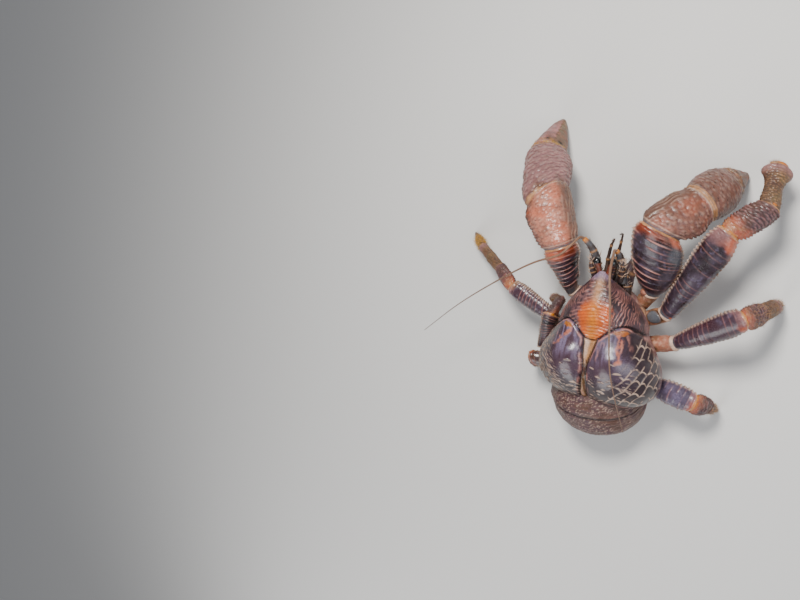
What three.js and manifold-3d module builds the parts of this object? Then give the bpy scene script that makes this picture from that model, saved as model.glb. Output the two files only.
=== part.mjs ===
// A life-size coconut crab, standing on the floor with its claws reaching forward.
// Millimetres. +Y is towards the head, +X the crab's right side, +Z up, and the floor is z = 0.
// The points below are given from the floor under the middle of the carapace.
import * as THREE from "three";
import { mergeVertices } from "three/addons/utils/BufferGeometryUtils.js";
import Module from "manifold-3d";

const wasm = await Module();
wasm.setup();

// The floor point under the middle of the whole crab, which is the part's origin.
const ORIGIN = [-44.1, 74.5, 0];

// The gap between two shell pieces that meet.
const GAP = 0.35;
// Points round a limb's section, a claw's and the body's.
const LIMB_SIDES = 10;
const CLAW_SIDES = 14;
const BODY_SIDES = 28;

// Colours of the shell, from the photograph.
const COLOURS = {
  shell_dark: "#3d2b3a",
  shell_violet: "#6a5a72",
  shell_orange: "#b9672f",
  claw: "#8c5f56",
  joint: "#c98a5e",
  abdomen: "#5a4038",
  eye: "#120c0c",
  feeler: "#8a6a52",
};

const vec = (p) => new THREE.Vector3(...p);
const mix = (a, b, t) => a + (b - a) * t;

// Value at x of the broken line through [x, value] pairs.
function along(table, x) {
  if (x <= table[0][0]) return table[0][1];
  for (let i = 1; i < table.length; i++)
    if (x <= table[i][0]) {
      const [x0, v0] = table[i - 1];
      const [x1, v1] = table[i];
      return mix(v0, v1, (x - x0) / (x1 - x0));
    }
  return table[table.length - 1][1];
}

// A closed solid through rings of points, each ring with the same count, closed by fans at both ends.
function loft(rings) {
  const n = rings[0].length;
  const position = [];
  const index = [];
  for (const ring of rings) for (const p of ring) position.push(p.x, p.y, p.z);
  for (let r = 0; r + 1 < rings.length; r++)
    for (let i = 0; i < n; i++) {
      const a = r * n + i;
      const b = r * n + ((i + 1) % n);
      index.push(a, b, a + n, b, b + n, a + n);
    }
  for (const [r, turn] of [[0, true], [rings.length - 1, false]]) {
    const centre = rings[r].reduce((s, p) => s.add(p), new THREE.Vector3()).divideScalar(n);
    position.push(centre.x, centre.y, centre.z);
    const c = position.length / 3 - 1;
    for (let i = 0; i < n; i++) {
      const a = r * n + i;
      const b = r * n + ((i + 1) % n);
      if (turn) index.push(c, b, a);
      else index.push(c, a, b);
    }
  }
  const geometry = new THREE.BufferGeometry();
  geometry.setAttribute("position", new THREE.Float32BufferAttribute(position, 3));
  geometry.setIndex(index);
  return geometry;
}

// A geometry as a manifold-3d solid, turned so that its faces point out.
function solidOf(geometry) {
  const bare = geometry.clone();
  bare.deleteAttribute("normal");
  bare.deleteAttribute("uv");
  const merged = mergeVertices(bare, 1e-4);
  const vertProperties = new Float32Array(merged.attributes.position.array);
  const triVerts = new Uint32Array(merged.index.array);
  const made = new wasm.Manifold(new wasm.Mesh({ numProp: 3, vertProperties, triVerts }));
  if (made.volume() > 0) return made;
  for (let i = 0; i < triVerts.length; i += 3)
    [triVerts[i + 1], triVerts[i + 2]] = [triVerts[i + 2], triVerts[i + 1]];
  return new wasm.Manifold(new wasm.Mesh({ numProp: 3, vertProperties, triVerts }));
}

function geometryOf(solid) {
  const mesh = solid.getMesh();
  const geometry = new THREE.BufferGeometry();
  const points = new Float32Array(mesh.numVert * 3);
  for (let i = 0; i < mesh.numVert; i++)
    points.set(mesh.vertProperties.subarray(i * mesh.numProp, i * mesh.numProp + 3), i * 3);
  geometry.setAttribute("position", new THREE.BufferAttribute(points, 3));
  geometry.setIndex(new THREE.BufferAttribute(mesh.triVerts, 1));
  geometry.computeVertexNormals();
  return geometry;
}

// An upright thin wall that follows a line of [x, y] points and parts whatever it cuts.
function curtain(points, low, high) {
  const left = [];
  const right = [];
  points.forEach(([x, y], i) => {
    const [x0, y0] = points[Math.max(0, i - 1)];
    const [x1, y1] = points[Math.min(points.length - 1, i + 1)];
    const length = Math.hypot(x1 - x0, y1 - y0);
    const side = [(-(y1 - y0) / length) * (GAP / 2), ((x1 - x0) / length) * (GAP / 2)];
    left.push(new THREE.Vector2(x + side[0], y + side[1]));
    right.unshift(new THREE.Vector2(x - side[0], y - side[1]));
  });
  const shape = new THREE.Shape([...left, ...right]);
  const wall = new THREE.ExtrudeGeometry(shape, { depth: high - low, bevelEnabled: false });
  wall.translate(0, 0, low);
  return solidOf(wall);
}

// One section of a limb. The ring lies in the plane through centre with that normal, seen along axis:
// wide is the half width across the flat side, thick the half thickness along the flat side's normal.
function sectionRing(centre, axis, normal, flat, wide, thick, sides) {
  const across = new THREE.Vector3().crossVectors(axis, flat).normalize();
  const up = new THREE.Vector3().crossVectors(across, axis).normalize();
  const ring = [];
  for (let i = 0; i < sides; i++) {
    const angle = (i / sides) * 2 * Math.PI;
    const p = centre
      .clone()
      .addScaledVector(across, wide * Math.cos(angle))
      .addScaledVector(up, thick * Math.sin(angle));
    const slide = centre.clone().sub(p).dot(normal) / axis.dot(normal);
    ring.push(p.addScaledVector(axis, slide));
  }
  return ring;
}

// A limb piece from point a to point b. The rows are [share of the length, half width, half thickness, sideways shift].
// Each end lies in its joint's plane, half a gap short of it.
function limbPiece({ a, b, normalA, normalB, flat, rows, sides = LIMB_SIDES, gapA = GAP, gapB = GAP }) {
  const axis = b.clone().sub(a).normalize();
  const start = a.clone().addScaledVector(axis, gapA / 2 / axis.dot(normalA));
  const end = b.clone().addScaledVector(axis, -gapB / 2 / axis.dot(normalB));
  const across = new THREE.Vector3().crossVectors(axis, flat).normalize();
  const rings = rows.map(([t, wide, thick, shift = 0]) => {
    const centre = start.clone().lerp(end, t).addScaledVector(across, shift);
    const ease = t * t * (3 - 2 * t);
    const normal = normalA.clone().lerp(normalB, ease).normalize();
    return sectionRing(centre, axis, normal, flat, wide, thick, sides);
  });
  return solidOf(loft(rings));
}

// The planes of a chain of joints: across the limb at its ends, halving the bend between two pieces.
// A lean tips the joint of that index sideways, across the flat side.
function jointNormals(points, flat, leans = {}) {
  const steps = points.slice(1).map((p, i) => p.clone().sub(points[i]).normalize());
  return points.map((_, i) => {
    if (i === 0) return steps[0];
    if (i === points.length - 1) return steps[steps.length - 1];
    const normal = steps[i - 1].clone().add(steps[i]).normalize();
    const across = new THREE.Vector3().crossVectors(normal, flat).normalize();
    return normal.addScaledVector(across, leans[i] ?? 0).normalize();
  });
}

const group = new THREE.Group();
const made = {};

function put(name, solid, colour) {
  made[name] = solid;
  const material = new THREE.MeshStandardMaterial({
    color: COLOURS[colour],
    roughness: 0.45,
    metalness: 0,
  });
  const mesh = new THREE.Mesh(geometryOf(solid), material);
  mesh.name = name;
  mesh.position.set(-ORIGIN[0], -ORIGIN[1], -ORIGIN[2]);
  group.add(mesh);
}

// The carapace: half width, top and rim height at stations along the body, from tail to rostrum.
const CARAPACE_WIDTH = [
  [-65, 36], [-58, 50], [-45, 62], [-28, 65.5], [-12, 62], [2, 54], [14, 47],
  [28, 43], [42, 35], [52, 27], [62, 17], [70, 8], [76, 2.2],
];
const CARAPACE_TOP = [
  [-65, 92], [-58, 104], [-45, 115], [-28, 122], [-12, 125], [2, 123], [14, 123.5],
  [28, 125.5], [42, 125], [52, 122.5], [62, 119], [70, 115.5], [76, 112],
];
const CARAPACE_RIM = [[-65, 70], [-50, 62], [28, 62], [42, 68], [52, 76], [62, 90], [70, 103], [76, 108]];
const CARAPACE_FULLEST = 0.36;

// The shoulder to the side of the midline that lifts each branchial lobe, and the furrow between them.
const LOBE_X = 30;
const LOBE_Y = -18;
const LOBE_LIFT = 6;
const FURROW_DEPTH = 5;

function lobeLift(x, y) {
  const lobe = Math.exp(-(((Math.abs(x) - LOBE_X) / 20) ** 2) - ((y - LOBE_Y) / 30) ** 2);
  const furrow = Math.exp(-((x / 9) ** 2)) / (1 + Math.exp((y - 2) / 5));
  return LOBE_LIFT * lobe - FURROW_DEPTH * furrow;
}

// A body section at y between a low and a high edge, with the fullest width partway up.
function bodyRing(y, half, low, high, fullest, lift, inflate = 0) {
  const ring = [];
  const middle = mix(low, high, fullest);
  for (let i = 0; i < BODY_SIDES; i++) {
    const angle = (i / BODY_SIDES) * 2 * Math.PI;
    const c = Math.cos(angle);
    const s = Math.sin(angle);
    const x = (half + inflate) * Math.sign(c) * Math.abs(c) ** 0.85;
    const rise = s > 0 ? high - middle : middle - low;
    const z = middle + (rise + inflate) * Math.sign(s) * Math.abs(s) ** (s > 0 ? 0.9 : 0.55);
    ring.push(new THREE.Vector3(x, y, z + (s > 0 ? lift(x, y) * s : 0)));
  }
  return ring;
}

const CARAPACE_STATIONS = CARAPACE_WIDTH.map(([y]) => y);
const carapaceRings = CARAPACE_STATIONS.map((y) =>
  bodyRing(y, along(CARAPACE_WIDTH, y), along(CARAPACE_RIM, y), along(CARAPACE_TOP, y), CARAPACE_FULLEST, lobeLift),
);
const carapaceWhole = solidOf(loft(carapaceRings));

// The grooves that part the carapace into its regions, as [x, y] points to the right of the midline,
// which leans a little to the right towards the head.
const CERVICAL_GROOVE = [[0, 5], [6, 6], [9, 8], [14, 13], [21, 19.5], [30, 23.5], [42, 17], [58, 4], [80, -6]];
const HEART_GROOVE = [[8, 10], [5, -8], [1.7, -26], [2.2, -40], [3.2, -57], [3.6, -75]];
const MIDLINE_LEAN = 0.11;
const MIDLINE_PIVOT = -16;
const GROOVE_LOW = 40;
const GROOVE_HIGH = 150;
const midline = (y) => MIDLINE_LEAN * (y - MIDLINE_PIVOT);
const toTheRight = ([x, y]) => [midline(y) + x, y];
const toTheLeft = ([x, y]) => [midline(y) - x, y];
const cervical = curtain(
  [...CERVICAL_GROOVE.slice(1).reverse().map(toTheLeft), ...CERVICAL_GROOVE.map(toTheRight)],
  GROOVE_LOW,
  GROOVE_HIGH,
);
// The heart's grooves start just past the cervical groove.
const heartRight = curtain(HEART_GROOVE.map(toTheRight), GROOVE_LOW, GROOVE_HIGH);
const heartLeft = curtain(HEART_GROOVE.map(toTheLeft), GROOVE_LOW, GROOVE_HIGH);
const regions = carapaceWhole.subtract(cervical).subtract(heartRight).subtract(heartLeft).decompose();
for (const region of regions) {
  const { min, max } = region.boundingBox();
  const x = (min[0] + max[0]) / 2;
  if (max[1] > 50) put("cephalic_shield", region, "shell_orange");
  else if (Math.abs(x) < 5) put("cardiac_plate", region, "joint");
  else put(x > 0 ? "branchial_right" : "branchial_left", region, "shell_violet");
}

// The carapace grown by one gap, which is the room that its neighbours leave it.
const carapaceRoom = solidOf(
  loft(
    CARAPACE_STATIONS.map((y, i) => {
      const end = i === 0 ? -GAP : i === CARAPACE_STATIONS.length - 1 ? GAP : 0;
      const [low, high] = [along(CARAPACE_RIM, y), along(CARAPACE_TOP, y)];
      return bodyRing(y + end, along(CARAPACE_WIDTH, y), low, high, CARAPACE_FULLEST, lobeLift, GAP);
    }),
  ),
);

// Everything stands on the floor, so what dips under it is cut off flat.
const underFloorBox = new THREE.BoxGeometry(900, 900, 100);
underFloorBox.translate(0, 0, -50);
const underFloor = solidOf(underFloorBox);

// The thorax under the carapace, which carries the legs, and the face under the rostrum.
const THORAX_WIDTH = [[-54, 28], [-44, 35], [-20, 38], [20, 38], [42, 31], [54, 22], [62, 14]];
const THORAX_LOW = [[-54, 44], [-44, 38], [-20, 35], [20, 36], [42, 42], [54, 50], [62, 62]];
const THORAX_TOP = [[-54, 74], [42, 74], [62, 92]];
const THORAX_FULLEST = 0.6;
const noLift = () => 0;
const thoraxLoft = (inflate) =>
  loft(
    THORAX_WIDTH.map(([y, half], i) => {
      const end = i === 0 ? -inflate : i === THORAX_WIDTH.length - 1 ? inflate : 0;
      const [low, high] = [along(THORAX_LOW, y), along(THORAX_TOP, y)];
      return bodyRing(y + end, half, low, high, THORAX_FULLEST, noLift, inflate);
    }),
  );
put("thorax", solidOf(thoraxLoft(0)).subtract(carapaceRoom), "joint");
const bodyRoom = solidOf(thoraxLoft(GAP)).add(carapaceRoom);

// The abdomen: a globe behind and below the carapace, parted by slanting cuts into its bands.
const ABDOMEN_CENTRE = [-8, -64, 48];
const ABDOMEN_HALF = [52, 47, 50];
const ABDOMEN_FRONT = -55;
const ABDOMEN_PIVOT = [-42, 30];
const ABDOMEN_CUTS = [56, 31, 6, -22];
const ABDOMEN_NAMES = ["tergite_1", "tergite_2", "tergite_3", "tergite_4", "abdomen_underside"];
const CUTTER = 200;

// A thin slab through the abdomen's pivot line, at that angle above the line that runs back from it.
function abdomenCut(angle) {
  const slab = new THREE.BoxGeometry(CUTTER, CUTTER, GAP);
  slab.translate(0, -CUTTER / 2, 0);
  slab.rotateX(-THREE.MathUtils.degToRad(angle));
  slab.translate(0, ABDOMEN_PIVOT[0], ABDOMEN_PIVOT[1]);
  return solidOf(slab);
}

function abdomenBands() {
  const globe = new THREE.SphereGeometry(1, 24, 14);
  globe.rotateX(Math.PI / 2);
  globe.scale(...ABDOMEN_HALF);
  globe.translate(...ABDOMEN_CENTRE);
  const front = new THREE.BoxGeometry(CUTTER, CUTTER, CUTTER);
  front.translate(0, ABDOMEN_FRONT + CUTTER / 2, CUTTER / 2);
  let bands = solidOf(globe).subtract(solidOf(front)).subtract(underFloor).subtract(bodyRoom);
  for (const angle of ABDOMEN_CUTS) bands = bands.subtract(abdomenCut(angle));
  const angleOf = (solid) => {
    const { min, max } = solid.boundingBox();
    return Math.atan2((min[2] + max[2]) / 2 - ABDOMEN_PIVOT[1], ABDOMEN_PIVOT[0] - (min[1] + max[1]) / 2);
  };
  return bands.decompose().sort((p, q) => angleOf(q) - angleOf(p));
}
abdomenBands().forEach((band, i) => put(ABDOMEN_NAMES[i], band, "abdomen"));

const largest = (solid) => solid.decompose().sort((p, q) => q.volume() - p.volume())[0];

// One limb: its joints, the direction its flat side faces and a row list for every piece between two joints.
function limb(name, { joints, flat, leans, pieces, sides = LIMB_SIDES }) {
  const points = joints.map(vec);
  const normals = jointNormals(points, vec(flat), leans);
  pieces.forEach(({ part, rows, colour }, i) => {
    if (!rows) return;
    const solid = limbPiece({
      a: points[i],
      b: points[i + 1],
      normalA: normals[i],
      normalB: normals[i + 1],
      flat: vec(flat),
      rows,
      sides,
    });
    put(`${name}_${part}`, largest(solid.subtract(bodyRoom).subtract(underFloor)), colour);
  });
}

// The walking legs. Each row is [share of the length, half width, half thickness, sideways shift].
const COXA_ROWS = [[0, 8, 8], [0.55, 9, 8.5], [1, 7.5, 7]];
const FRONT_MERUS = [[0, 7.5, 7], [0.12, 9.5, 8], [0.45, 13.5, 9.5], [0.78, 15.5, 10], [0.93, 13, 9.5], [1, 10, 8]];
const FRONT_CARPUS = [[0, 8.5, 7.5], [0.2, 12, 9], [0.7, 12.5, 9], [1, 9.5, 7.5]];
const FRONT_PROPODUS = [[0, 9, 7], [0.15, 8.6, 7.2], [0.5, 7.6, 6.8], [0.75, 9.5, 7], [0.9, 13, 7.5], [1, 11, 6.5]];
const FRONT_DACTYL = [[0, 10, 6.2], [0.12, 10, 6], [0.5, 6.5, 4.6], [0.85, 3, 2.6], [1, 1.6, 1.6]];
const MIDDLE_MERUS = [[0, 6.5, 6.5], [0.12, 8, 7.5], [0.5, 11.5, 8.5], [0.8, 12.5, 9], [0.94, 11, 8], [1, 9, 7]];
const MIDDLE_CARPUS = [[0, 7.5, 6.5], [0.25, 10, 7.5], [0.75, 9.5, 7], [1, 7.5, 6]];
const MIDDLE_PROPODUS = [[0, 7, 5.5], [0.2, 8, 6], [0.75, 7.5, 5.5], [1, 6.2, 5]];
const MIDDLE_DACTYL = [[0, 6, 4.6], [0.15, 6.2, 4.6], [0.55, 4.4, 3.6], [0.88, 2.4, 2.2], [1, 1.5, 1.5]];
const scaled = (rows, wide, thick = wide) => rows.map(([t, w, h, s = 0]) => [t, w * wide, h * thick, s]);
const legPieces = (merus, carpus, propodus, dactyl, coxa = COXA_ROWS) => [
  { part: "coxa", rows: coxa, colour: "joint" },
  { part: "merus", rows: merus, colour: "shell_dark" },
  { part: "carpus", rows: carpus, colour: "shell_dark" },
  { part: "propodus", rows: propodus, colour: "claw" },
  { part: "dactyl", rows: dactyl, colour: "feeler" },
];
const backPieces = (merus, carpus, dactyl) => [
  { part: "merus", rows: merus, colour: "shell_violet" },
  { part: "carpus", rows: carpus, colour: "shell_dark" },
  { part: "dactyl", rows: dactyl, colour: "feeler" },
];
const TOWARDS_VIEWER = [0.35, -0.05, 0.93];

limb("right_leg_2", {
  joints: [
    [32, 30, 47], [54.1, 39, 60], [104.9, 125.4, 86], [130.8, 152.1, 68], [129.1, 191, 44], [122.2, 202, -0.4],
  ],
  flat: TOWARDS_VIEWER,
  pieces: legPieces(FRONT_MERUS, FRONT_CARPUS, FRONT_PROPODUS, FRONT_DACTYL),
});
limb("right_leg_3", {
  joints: [
    [34, 2, 47], [67.7, 10.7, 58], [128.4, 46.4, 84], [139, 54, 57], [145, 60.5, 30], [145, 62, -0.4],
  ],
  flat: TOWARDS_VIEWER,
  pieces: legPieces(MIDDLE_MERUS, MIDDLE_CARPUS, MIDDLE_PROPODUS, MIDDLE_DACTYL),
});
limb("right_leg_4", {
  joints: [[36, -38, 46], [93.5, -45.6, 62], [103, -51.5, 40], [104, -60.4, -0.4]],
  flat: TOWARDS_VIEWER,
  pieces: backPieces(
    [[0, 8, 7.5], [0.3, 9.5, 8], [0.6, 12, 8.5], [0.85, 11.5, 8], [1, 8.5, 6.5]],
    [[0, 8, 6.5], [0.3, 10, 7], [0.75, 9, 6.5], [1, 6.5, 5]],
    [[0, 6, 4.6], [0.2, 6.5, 4.6], [0.6, 4.4, 3.4], [0.9, 2.2, 2], [1, 1.5, 1.5]],
  ),
});
limb("left_leg_2", {
  joints: [
    [-32, 26, 47], [-59.3, 10.5, 60], [-123.7, 43.1, 68], [-155.9, 63.6, 50], [-200.5, 88.1, 26], [-232, 107, -0.4],
  ],
  flat: [0.2, -0.35, 0.9],
  pieces: legPieces(
    [[0, 6, 5.5], [0.12, 7.5, 6.5], [0.5, 10, 7.5], [0.82, 11, 8], [0.95, 9.5, 7], [1, 8, 6]],
    scaled(FRONT_CARPUS, 0.72, 0.8),
    [[0, 6.5, 5.5], [0.2, 7.5, 6], [0.7, 6.6, 5.4], [1, 6, 5]],
    [[0, 5.6, 4.8], [0.2, 5.8, 4.8], [0.6, 4.4, 3.6], [0.9, 2.6, 2.2], [1, 1.5, 1.5]],
    scaled(COXA_ROWS, 0.85),
  ),
});
limb("left_leg_3", {
  joints: [
    [-34, -4, 47], [-79.8, -18.2, 56], [-60, 20, 88], [-66, 34.5, 58], [-86, 35, 28], [-101, 35, -0.4],
  ],
  flat: [0.5, -0.6, 0.6],
  pieces: legPieces(
    [[0, 5.5, 5], [0.15, 6, 5.5], [0.5, 7.5, 6.5], [0.85, 9, 6.5], [1, 7.5, 5.5]],
    scaled(MIDDLE_CARPUS, 0.8),
    scaled(MIDDLE_PROPODUS, 0.85),
    scaled(MIDDLE_DACTYL, 0.85),
    scaled(COXA_ROWS, 0.75),
  ),
});
limb("left_leg_4", {
  joints: [[-36, -38, 46], [-87.3, -37.6, 62], [-97, -46, 40], [-107, -56.3, -0.4]],
  flat: [-0.2, -0.1, 0.9],
  pieces: backPieces(
    [[0, 7, 6.5], [0.4, 8.5, 7], [0.8, 9, 7], [1, 7, 5.5]],
    [[0, 6.5, 5], [0.4, 7.5, 5.5], [1, 5.5, 4.5]],
    [[0, 5, 4.2], [0.3, 5.2, 4], [0.7, 3.6, 3], [1, 1.5, 1.5]],
  ),
});

// The claws. A claw's two fingers are one shape, parted by a toothed wall: the outer half moves, the
// inner half is one with the palm.
const TOOTH = 7;
const TOOTH_HEIGHT = 1.1;
const FINGER_WALL = 0.6;

function toothedWall(base, axis, across, length) {
  const count = Math.ceil(length / TOOTH) + 2;
  const left = [];
  const right = [];
  for (let i = -2; i <= count; i++) {
    const s = (i % 2 === 0 ? 1 : -1) * TOOTH_HEIGHT;
    left.push(new THREE.Vector2((i * TOOTH) / 2, s + FINGER_WALL / 2));
    right.unshift(new THREE.Vector2((i * TOOTH) / 2, s - FINGER_WALL / 2));
  }
  const last = left[left.length - 1].x;
  left.push(new THREE.Vector2(last + length, FINGER_WALL / 2));
  right.unshift(new THREE.Vector2(last + length, -FINGER_WALL / 2));
  const wall = new THREE.ExtrudeGeometry(new THREE.Shape([...left, ...right]), {
    depth: CUTTER / 2,
    bevelEnabled: false,
  });
  wall.translate(0, 0, -CUTTER / 4);
  const up = new THREE.Vector3().crossVectors(axis, across);
  wall.applyMatrix4(new THREE.Matrix4().makeBasis(axis, across, up));
  wall.translate(base.x, base.y, base.z);
  return solidOf(wall);
}

// The solid on the positive side of the plane through point across that direction.
function halfSpace(point, direction) {
  const box = new THREE.BoxGeometry(CUTTER, CUTTER, CUTTER);
  box.translate(0, 0, CUTTER / 2);
  const turn = new THREE.Quaternion().setFromUnitVectors(new THREE.Vector3(0, 0, 1), direction);
  box.applyQuaternion(turn);
  box.translate(point.x, point.y, point.z);
  return solidOf(box);
}

function claw(name, { joints, flat, leans, coxa, merus, carpus, palm, fingers }) {
  limb(name, {
    joints: joints.slice(0, 5),
    flat,
    leans,
    sides: CLAW_SIDES,
    pieces: [
      { part: "coxa", rows: coxa, colour: "joint" },
      { part: "merus", rows: merus, colour: "shell_dark" },
      { part: "carpus", rows: carpus, colour: "claw" },
      { part: "palm" },
    ],
  });
  const points = joints.map(vec);
  const normals = jointNormals(points, vec(flat), leans);
  const [wrist, knuckle, tip] = points.slice(3);
  const [wristNormal, knuckleNormal, tipNormal] = normals.slice(3);
  const shared = { flat: vec(flat), sides: CLAW_SIDES };
  const hand = limbPiece({
    ...shared, a: wrist, b: knuckle, normalA: wristNormal, normalB: knuckleNormal, rows: palm, gapB: 0,
  });
  const axis = tip.clone().sub(knuckle).normalize();
  const across = new THREE.Vector3().crossVectors(axis, vec(flat)).normalize();
  const pair = limbPiece({
    ...shared, a: knuckle, b: tip, normalA: knuckleNormal, normalB: tipNormal, rows: fingers, gapA: -1, gapB: 0,
  });
  const wall = toothedWall(knuckle, axis, across, tip.distanceTo(knuckle));
  const halves = pair.subtract(wall).subtract(underFloor).decompose();
  const sideOf = (solid) => {
    const { min, max } = solid.boundingBox();
    const centre = vec(min).add(vec(max)).multiplyScalar(0.5);
    return centre.sub(knuckle).dot(across);
  };
  const [moving, fixed] = halves.sort((p, q) => q.volume() - p.volume()).slice(0, 2).sort((p, q) => sideOf(p) - sideOf(q));
  const ahead = halfSpace(knuckle.clone().addScaledVector(knuckleNormal, GAP), knuckleNormal);
  put(`${name}_finger`, largest(moving.intersect(ahead)), "claw");
  put(`${name}_palm`, largest(hand.add(fixed).subtract(underFloor)), "claw");
}

claw("left_claw", {
  joints: [
    [-24, 44, 50], [-49.4, 49.9, 62], [-51.2, 97.6, 108], [-80.8, 151.9, 98], [-113.3, 211.6, 42], [-120.5, 258.3, 0.6],
  ],
  flat: [0.452, -0.134, 0.881],
  leans: { 3: -0.45, 4: 0.12 },
  coxa: [[0, 7.5, 7.5], [0.5, 8, 8], [1, 7, 7]],
  merus: [[0, 7, 7], [0.15, 9, 9], [0.55, 13.5, 13], [0.85, 18, 16], [1, 16, 14]],
  carpus: [[0, 15.5, 14], [0.12, 20, 18], [0.5, 24, 20.5], [0.85, 26, 20], [1, 21, 17]],
  palm: [[0, 20, 17], [0.1, 24, 20], [0.4, 27.5, 22], [0.75, 27, 20.5], [1, 21.5, 15]],
  fingers: [[0, 21.5, 15], [0.25, 18, 12.5], [0.6, 11.5, 9], [0.88, 5, 5.2], [1, 2.4, 2.6]],
});
claw("right_claw", {
  joints: [
    [24, 44, 50], [38.6, 60, 66], [49.5, 122.3, 108], [74.3, 150.2, 86], [87.9, 177.2, 42], [95.1, 192, 0.6],
  ],
  flat: [0.223, -0.123, 0.967],
  coxa: [[0, 7.5, 7.5], [0.5, 8, 8], [1, 7.5, 7.5]],
  merus: [[0, 8, 7.5], [0.12, 13, 10], [0.35, 20, 14], [0.7, 24, 16], [0.9, 22, 15], [1, 17, 12]],
  carpus: [[0, 16, 12], [0.2, 22, 16], [0.6, 24, 17], [1, 19, 14]],
  palm: [[0, 18, 13.5], [0.15, 22, 16], [0.5, 24, 17], [0.8, 22, 15.5], [1, 17, 12.5]],
  fingers: [[0, 17, 12.5], [0.25, 14.5, 10.5], [0.6, 9.5, 7.5], [0.88, 4.5, 4.5], [1, 2.2, 2.4]],
});

// A rod of changing thickness along a smooth curve: stalks, feelers and mouth limbs.
function rod(points, radii, { steps, sides = 8 }) {
  const curve = new THREE.CatmullRomCurve3(points.map(vec));
  const table = radii.map((r, i) => [i / (radii.length - 1), r]);
  const rings = [];
  for (let i = 0; i <= steps; i++) {
    const t = i / steps;
    const axis = curve.getTangent(t);
    const flat = Math.abs(axis.z) > 0.9 ? new THREE.Vector3(0, 1, 0) : new THREE.Vector3(0, 0, 1);
    rings.push(sectionRing(curve.getPoint(t), axis, axis, flat, along(table, t), along(table, t), sides));
  }
  return solidOf(loft(rings));
}

// The eyes on their stalks, under the rostrum.
function eye(side, x, y, z) {
  const reach = Math.sign(x) * 3;
  const base = [x * 0.72, y - 15, z - 3];
  const ball = new THREE.SphereGeometry(1, 10, 6);
  ball.scale(3.7, 4.4, 3.7);
  ball.translate(x + reach, y + 2, z);
  const stalk = rod([base, [x, y - 6, z - 1], [x + reach, y, z]], [3, 2.6, 3], { steps: 3, sides: 6 });
  const ballRoom = new THREE.SphereGeometry(1, 10, 6);
  ballRoom.scale(3.7 + GAP, 4.4 + GAP, 3.7 + GAP);
  ballRoom.translate(x + reach, y + 2, z);
  put(`${side}_eyestalk`, largest(stalk.subtract(solidOf(ballRoom)).subtract(bodyRoom)), "shell_orange");
  put(`${side}_eye`, solidOf(ball), "eye");
}
eye("left", -5.5, 84, 107);
eye("right", 5.5, 84, 107);

// Feelers: a thick jointed base and a long whip for each antenna, and a short antennule between them.
const antenna = (side, base, whip, whipRadii, steps) => {
  put(`${side}_antenna_base`, largest(rod(base, [5, 4.6, 3.6, 2.6], { steps: 7 }).subtract(bodyRoom)), "claw");
  put(`${side}_antenna`, rod(whip, whipRadii, { steps, sides: 6 }), "feeler");
};
antenna(
  "left",
  [[-14, 66, 88], [-13, 84, 95], [-18, 100, 103], [-24.4, 108, 110]],
  [[-25.2, 109, 111], [-26.6, 108.8, 113.6], [-31.5, 100.7, 122], [-41, 88.5, 127], [-67.9, 77.4, 128],
    [-110.5, 54.7, 120], [-172.9, 15.9, 106], [-238, -31, 86]],
  [1.5, 1.3, 1.1, 0.9, 0.7, 0.5, 0.35],
  20,
);
antenna(
  "right",
  [[14, 66, 88], [13, 82, 93], [11, 94, 98], [8.6, 98.4, 103]],
  [[8.3, 99, 104.3], [8.4, 98.6, 107], [10.5, 92, 115], [13.5, 80, 125], [16.5, 68.6, 131], [22.9, 40.6, 136],
    [27.8, 5.8, 138], [31.7, -18.5, 137], [36.5, -43.6, 129], [43.6, -84, 106]],
  [1.4, 1.3, 1.2, 1.1, 1, 0.9, 0.75, 0.55, 0.35],
  24,
);
const ANTENNULES = {
  left: [[-3.5, 72, 90], [-3, 88, 92], [0, 101, 97], [6, 110, 106], [7, 108, 114]],
  right: [[3.5, 72, 88], [4, 88, 86], [7, 104, 90], [13, 116, 104], [14, 115, 114]],
};
for (const [side, sign] of [["left", -1], ["right", 1]]) {
  const stem = rod(ANTENNULES[side], [2.2, 2, 1.6, 0.9, 0.4], { steps: 10, sides: 6 });
  put(`${side}_antennule`, largest(stem.subtract(bodyRoom)), "feeler");
  const mouth = [[sign * 9, 54, 58], [sign * 11, 74, 62], [sign * 11, 88, 52], [sign * 8, 86, 34], [sign * 6, 78, 26]];
  put(`${side}_maxilliped`, largest(rod(mouth, [6, 6, 5, 4, 2], { steps: 10, sides: 10 }).subtract(bodyRoom)), "claw");
}

export default group;
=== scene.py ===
# The looks of the coconut crab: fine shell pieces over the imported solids, their colours, and the bristles.
# Shapes are worked out in millimetres from the floor under the middle of the carapace, as in the solids,
# and are moved to the part's origin and to metres when their mesh is made.
import math
from types import SimpleNamespace

import bmesh
import bpy
import numpy as np
from mathutils import Matrix, Vector


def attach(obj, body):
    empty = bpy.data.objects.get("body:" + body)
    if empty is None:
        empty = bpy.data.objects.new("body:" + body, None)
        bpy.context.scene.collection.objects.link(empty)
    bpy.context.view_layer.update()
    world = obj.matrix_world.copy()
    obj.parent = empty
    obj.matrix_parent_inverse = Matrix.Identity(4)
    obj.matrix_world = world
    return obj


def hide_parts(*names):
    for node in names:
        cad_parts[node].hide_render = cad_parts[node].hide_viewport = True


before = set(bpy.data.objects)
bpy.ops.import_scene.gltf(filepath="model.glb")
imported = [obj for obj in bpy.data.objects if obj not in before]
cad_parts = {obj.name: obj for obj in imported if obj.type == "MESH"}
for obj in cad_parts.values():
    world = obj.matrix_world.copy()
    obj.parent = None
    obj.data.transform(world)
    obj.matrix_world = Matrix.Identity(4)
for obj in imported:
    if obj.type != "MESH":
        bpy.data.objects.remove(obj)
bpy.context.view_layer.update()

ORIGIN = np.array([-44.1, 74.5, 0.0])
MM = 0.001
rng = np.random.default_rng(7)


# Colours, written as they look and pushed away from grey, as soft light pales them
VIVID = 1.18
DEPTH = 0.8


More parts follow.
